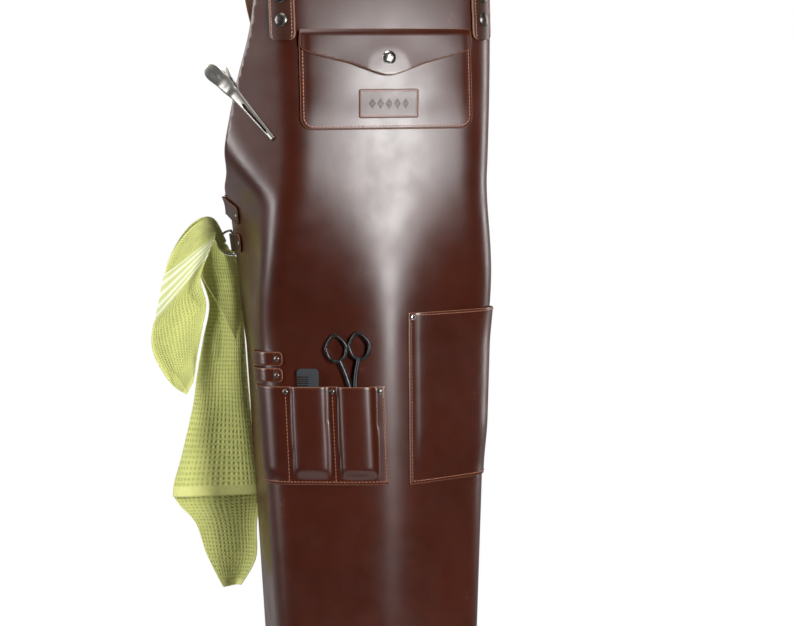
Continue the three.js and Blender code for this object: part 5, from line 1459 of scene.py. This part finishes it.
class Studs(bpy.types.Operator):
    """Turn the rivets, the snap caps and the studs behind them, and set each in its place"""

    bl_idname = "apron.studs"
    bl_label = "Rivets and Snaps"

    def execute(self, context):
        dark, bright = dark_material(), nickel_material()
        rivet = turned("rivet_model", ((0, 0.95), (0.9, 0.9), (1.9, 0.72), (2.7, 0.35), (3.1, -0.05),
            (3.0, -0.4), (1.2, -0.4), (1.2, -3.8), (2.9, -3.8), (2.9, -4.5), (0, -4.5)), 32)
        face = GAP + SHEET + 0.4
        for i, (s, z) in enumerate(tool_rivets()):
            self.put(rivet, f"tool_rivet_{i + 1}", s, z, face, "dark_nickel", dark,
                f"tool_pocket_rivet_{i + 1}")
        names = [f"loop_rivet_{row}_{place}" for row in ("upper", "lower") for place in ("right", "left")]
        for name, (s, z) in zip(names, loop_rivets()):
            self.put(rivet, "set_" + name, s, z, face, "dark_nickel", dark, name)
        for name, (s, z) in zip(("front", "rear"), side_rivets()):
            self.put(rivet, f"side_rivet_{name}", s, z, face, "polished_nickel", bright,
                f"side_pocket_rivet_{name}")
        remove(rivet)
        r = SNAP_RADIUS
        cap = turned("cap_model", ((0, 2.9), (r * 0.3, 2.8), (r * 0.55, 2.45), (r * 0.78, 1.8),
            (r * 0.93, 0.95), (r, 0.3), (r * 0.99, 0.0), (r * 0.9, -0.25), (1.7, -0.25), (1.7, -4.9),
                (4.4, -4.9), (4.4, -5.9), (0, -5.9)), 56)
        for place, side in (("left", -1), ("right", 1)):
            for level, z in zip(("lower", "upper"), SNAP_Z):
                nodes = (f"strap_snap_cap_{place}_{level}", f"bib_snap_stud_{place}_{level}")
                s = side * STRAP_S
                self.put(cap, f"snap_{place}_{level}", s, z, STRAP_STAND + STRAP_SHEET + 0.3, "dark_nickel",
                    dark, *nodes)
        at = FLAP_FACE + float(flap_room(0.0, FLAP_SNAP_Z))
        self.put(cap, "flap_snap", 0, FLAP_SNAP_Z, at + 0.3, "polished_nickel", bright, "flap_snap_cap",
            body="chest_flap")
        remove(cap)
        stud = turned("stud_model", ((0, 0.5), (2.2, 0.5), (2.6, 0.2), (1.8, 0), (1.8, -1.7), (4.4, -1.7),
            (4.4, -2.4), (0, -2.4)), 32)
        at = POCKET_FACE + float(pocket_room(0.0, FLAP_SNAP_Z))
        self.put(stud, "pocket_stud", 0, FLAP_SNAP_Z, at, "polished_nickel", bright, "pocket_snap_stud")
        remove(stud)
        self.through(dark, bright)
        return {"FINISHED"}

    @staticmethod
    def put(model, name, s, z, d, slot, material, *nodes, body="apron"):
        matrix = stud_frame(worn(s, z, d), face_at(s, z))
        return place_copy(model, name, matrix, body, material, nodes)

    @staticmethod
    def through(dark, bright):
        """Rivets that pass through tabs, strap ends and the crossing."""
        rings = all_rings()

        def pin(name, origin, out, low, high, material, node):
            model = turned(name + "_model",
                ((0, high + 1.2), (1.6, high + 1.0), (3.0, high + 0.5), (3.4, high), (1.3, high - 0.1),
                    (1.3, low + 0.1), (3.1, low), (3.0, low - 0.7), (0, low - 1.0)), 32)
            place_copy(model, name, stud_frame(origin, out), "apron", material, (node,))
            remove(model)

        outer = TAB_GAP + TAB_SHEET
        for name, side, z0, tilt in (("towel_ring_tab", -1, TOWEL_TAB_Z, 0),
            ("rear_tab_left", -1, REAR_TAB_Z, REAR_TILT), ("rear_tab_right", 1, REAR_TAB_Z, REAR_TILT)):
            s = side * (SKIRT_HALF - TAB_RIVET * math.cos(math.radians(tilt)))
            z = z0 - TAB_RIVET * math.sin(math.radians(tilt))
            pin(f"{name}_pin", worn(s, z, 0), face_at(s, z), -HIDE - outer, outer, dark,
                f"{name}_rivet")
        reach = RING_WIRE + LOOP_SLACK + STRAP_SHEET
        for place, key in (("left", "right"), ("right", "left")):
            ring = rings[key]
            out = ring["face"] * (1 if ring["face"][1] > 0 else -1)
            at = ring["centre"] + ring["out"] * (RING_DEPTH + STRAP_BACK - 6)
            pin(f"strap_end_pin_{place}", at, out, -reach, reach, dark,
                f"strap_end_rivet_{place}")
        high = STRAP_SHEET + 2 + 3
        pin("cross_pin", (0, CROSS_Y, CROSS_Z), (0, 1, 0), -STRAP_SHEET, high, bright,
            "back_cross_rivet")


class RingsAndTabs(bpy.types.Operator):
    """Bend the rings and fold the leather tabs that hold them"""

    bl_idname = "apron.rings_and_tabs"
    bl_label = "Rings and Tabs"

    def execute(self, context):
        rings, bright, hide = all_rings(), nickel_material(), strap_material()
        bows = {"towel": (RING_DEPTH - 2, RING_BAR / 2), "left": (5, 5), "right": (5, 5)}
        for key, ring in rings.items():
            name = "towel_ring" if key == "towel" else f"rear_ring_{key}"
            matrix = frame_matrix(ring["centre"], ring["out"], ring["bar"], ring["face"])
            wire_piece(name + "_wire", ring_line(bows[key]), RING_WIRE, matrix, name,
                bright, (name,))
        folded_tab("towel_tab", -1, TOWEL_TAB_Z, 0, hide, ("towel_ring_tab",))
        folded_tab("strap_tab_left", -1, REAR_TAB_Z, REAR_TILT, hide, ("rear_tab_left",))
        folded_tab("strap_tab_right", 1, REAR_TAB_Z, REAR_TILT, hide, ("rear_tab_right",))
        return {"FINISHED"}


class HairClip(bpy.types.Operator):
    """Press the two jaws of the hair clip, and make its pin and spring"""

    bl_idname = "apron.hair_clip"
    bl_label = "Hair Clip"

    def execute(self, context):
        steel = shared("clip_steel", lambda: metal("clip_steel", (0.26, 0.245, 0.23), 0.34, wear=0.3,
            grime=0.6))
        clip_jaw("clip_upper", 1, "clip_upper_jaw", steel, ("clip_upper_jaw",))
        clip_jaw("clip_lower", -1, "hair_clip", steel, ("clip_lower_jaw",))
        matrix = frame_matrix(*clip_frame())
        half = CLIP_WIDE / 2 - 2.5
        turns = np.linspace(0, 2 * math.pi * 5, 120)
        coil = [(1.9 * math.cos(a), -4 + 8 * a / turns[-1], 1.9 * math.sin(a)) for a in turns]
        wire_piece("clip_coil", coil, 0.45, matrix, "hair_clip", steel, ("clip_spring",),
            closed=False)
        line = [(0, y, 0) for y in np.linspace(-half, half, 6)]
        wire_piece("clip_axle", line, 1.05, matrix, "hair_clip", steel, ("clip_pin",),
            closed=False)
        return {"FINISHED"}


class Scissors(bpy.types.Operator):
    """Forge the two halves of the scissors and their screw"""

    bl_idname = "apron.scissors"
    bl_label = "Scissors"

    def execute(self, context):
        iron = shared("iron", lambda: metal("iron", (0.05, 0.051, 0.056), 0.3, wear=0.08, grime=0.12))
        scissor_half("scissors_left", -1, 0, "scissors", iron, ("scissor_half_left",))
        scissor_half("scissors_right", 1, 2.4, "scissor_half_right", iron, ("scissor_half_right",))
        origin, across, up, out = scissors_frame()
        model = turned("screw_model", ((0, 6.0), (2.6, 5.9), (3.5, 5.5), (3.6, 4.9), (1.5, 4.8),
            (1.5, -0.3), (3.4, -0.3), (3.4, -1.2), (0, -1.2)), 40)
        place_copy(model, "screw", frame_matrix(origin, across, up, out), "scissors",
            dark_material(), ("scissor_screw",))
        remove(model)
        return {"FINISHED"}


class Comb(bpy.types.Operator):
    """Cut the comb with its row of fine teeth"""

    bl_idname = "apron.comb"
    bl_label = "Comb"

    def execute(self, context):
        plastic = shared("comb_plastic", lambda: hard_plastic("comb_plastic"))
        matrix = frame_matrix(*comb_frame())
        plate_piece("comb_plate", [comb_outline()], 3, 0.35, matrix, "comb", plastic,
            ("comb",))
        return {"FINISHED"}


class Towel(bpy.types.Operator):
    """Hang the waffle towel through its ring"""

    bl_idname = "apron.towel"
    bl_label = "Towel"

    def execute(self, context):
        cloth = shared("waffle", lambda: waffle("waffle", context.scene.towel_looks.cloth_color))
        add_towel(all_rings(), cloth)
        return {"FINISHED"}


class Stage(bpy.types.Operator):
    """Lay a pale floor, light it softly and aim the camera"""

    bl_idname = "apron.stage"
    bl_label = "Floor, Light and Camera"

    def execute(self, context):
        scene = context.scene
        bpy.ops.object.select_all(action="DESELECT")
        bpy.ops.mesh.primitive_plane_add(size=1.2, location=(0, 0, -1.16))
        floor = bpy.context.object
        floor.name = "floor"
        floor.data.materials.append(plain_floor("floor"))
        self.sky(scene)
        self.lamp("key", (0.55, -2.1, -0.16), (0, -0.1, -0.3), (0.36, 0.95), 58)
        self.lamp("side", (-2.3, 0.1, 0.0), (-0.2, 0, -0.5), (0.5, 1.9), 46)
        self.lamp("far", (2.2, 0.5, -0.1), (0, 0, -0.5), (0.5, 1.9), 24)
        self.lamp("top", (-0.3, -0.5, 1.9), (0, 0, -0.4), (1.2, 1.2), 20)
        self.camera(scene)
        scene.view_settings.view_transform = "Standard"
        scene.view_settings.look = "None"
        return {"FINISHED"}

    @staticmethod
    def lamp(name, place, at, size, power):
        data = bpy.data.lights.new(name, "AREA")
        data.shape, data.size, data.size_y, data.energy = "RECTANGLE", size[0], size[1], power
        lamp = bpy.data.objects.new(name, data)
        bpy.context.scene.collection.objects.link(lamp)
        lamp.location = place
        way = Vector(at) - Vector(place)
        lamp.rotation_euler = way.to_track_quat("-Z", "Y").to_euler()

    @staticmethod
    def sky(scene):
        """White behind and overhead, dim in front, and plain white to look at."""
        world = bpy.data.worlds.new("studio")
        scene.world = world
        world.use_nodes = True
        nodes, links = world.node_tree.nodes, world.node_tree.links
        nodes.clear()
        out = nodes.new("ShaderNodeOutputWorld")
        spot = nodes.new("ShaderNodeTexCoord")
        split = nodes.new("ShaderNodeSeparateXYZ")
        ramp = nodes.new("ShaderNodeMapRange")
        ramp.interpolation_type = "SMOOTHSTEP"
        for at, value in ((1, 0.1), (2, 0.9), (3, 0.0), (4, 0.5)):
            ramp.inputs[at].default_value = value
        lit = nodes.new("ShaderNodeBackground")
        seen = nodes.new("ShaderNodeBackground")
        seen.inputs[0].default_value, seen.inputs[1].default_value = (1, 1, 1, 1), 1.0
        path = nodes.new("ShaderNodeLightPath")
        both = nodes.new("ShaderNodeMixShader")
        links.new(spot.outputs["Generated"], split.inputs[0])
        links.new(split.outputs[1], ramp.inputs[0])
        links.new(ramp.outputs[0], lit.inputs[1])
        links.new(path.outputs["Is Camera Ray"], both.inputs[0])
        links.new(lit.outputs[0], both.inputs[1])
        links.new(seen.outputs[0], both.inputs[2])
        links.new(both.outputs[0], out.inputs[0])

    @staticmethod
    def camera(scene):
        turned_by, distance, dip, roll = math.radians(15.251), 2.6, math.radians(4), math.radians(1)
        right = np.array([math.cos(turned_by), -math.sin(turned_by), 0])
        ahead = np.array([math.sin(turned_by), math.cos(turned_by), 0])
        eye = np.array([0, 0, -0.35]) + right * 0.0403 - ahead * distance
        look = ahead * math.cos(dip) - np.array([0, 0, 1]) * math.sin(dip)
        up = np.cross(right, look)
        side = math.cos(roll) * right - math.sin(roll) * up
        up = math.sin(roll) * right + math.cos(roll) * up
        data = bpy.data.cameras.new("camera")
        data.lens, data.sensor_width = 98.24, 36
        data.clip_start, data.clip_end = 0.05, 60
        camera = bpy.data.objects.new("camera", data)
        scene.collection.objects.link(camera)
        matrix = Matrix.Identity(4)
        for i, axis in enumerate((side, up, -look)):
            for j in range(3):
                matrix[j][i] = float(axis[j])
        for j in range(3):
            matrix[j][3] = float(eye[j])
        camera.matrix_world = matrix
        scene.camera = camera


class ApronPanel(bpy.types.Panel):
    bl_idname = "APRON_PT_looks"
    bl_label = "Leather Apron"
    bl_space_type = "VIEW_3D"
    bl_region_type = "UI"
    bl_category = "Apron"

    def draw(self, context):
        for name in ("leather_color", "strap_color", "chest_thread", "skirt_thread", "stitch_pitch"):
            self.layout.prop(context.scene.apron_looks, name)
        self.layout.prop(context.scene.towel_looks, "cloth_color")
        for step in STEPS:
            self.layout.operator(step.bl_idname)


STEPS = (RingsAndTabs, LeatherPanels, Stitching, Straps, Studs, HairClip, Scissors, Comb, Towel, Stage)
CLASSES = (ApronLooks, TowelLooks, *STEPS, ApronPanel)


def register():
    for item in CLASSES:
        bpy.utils.register_class(item)
    bpy.types.Scene.apron_looks = PointerProperty(type=ApronLooks)
    bpy.types.Scene.towel_looks = PointerProperty(type=TowelLooks)


def unregister():
    del bpy.types.Scene.towel_looks
    del bpy.types.Scene.apron_looks
    for item in reversed(CLASSES):
        bpy.utils.unregister_class(item)


def main():
    register()
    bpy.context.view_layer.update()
    for step in STEPS:
        group, name = step.bl_idname.split(".")
        getattr(getattr(bpy.ops, group), name)()


if __name__ == "__main__":
    main()
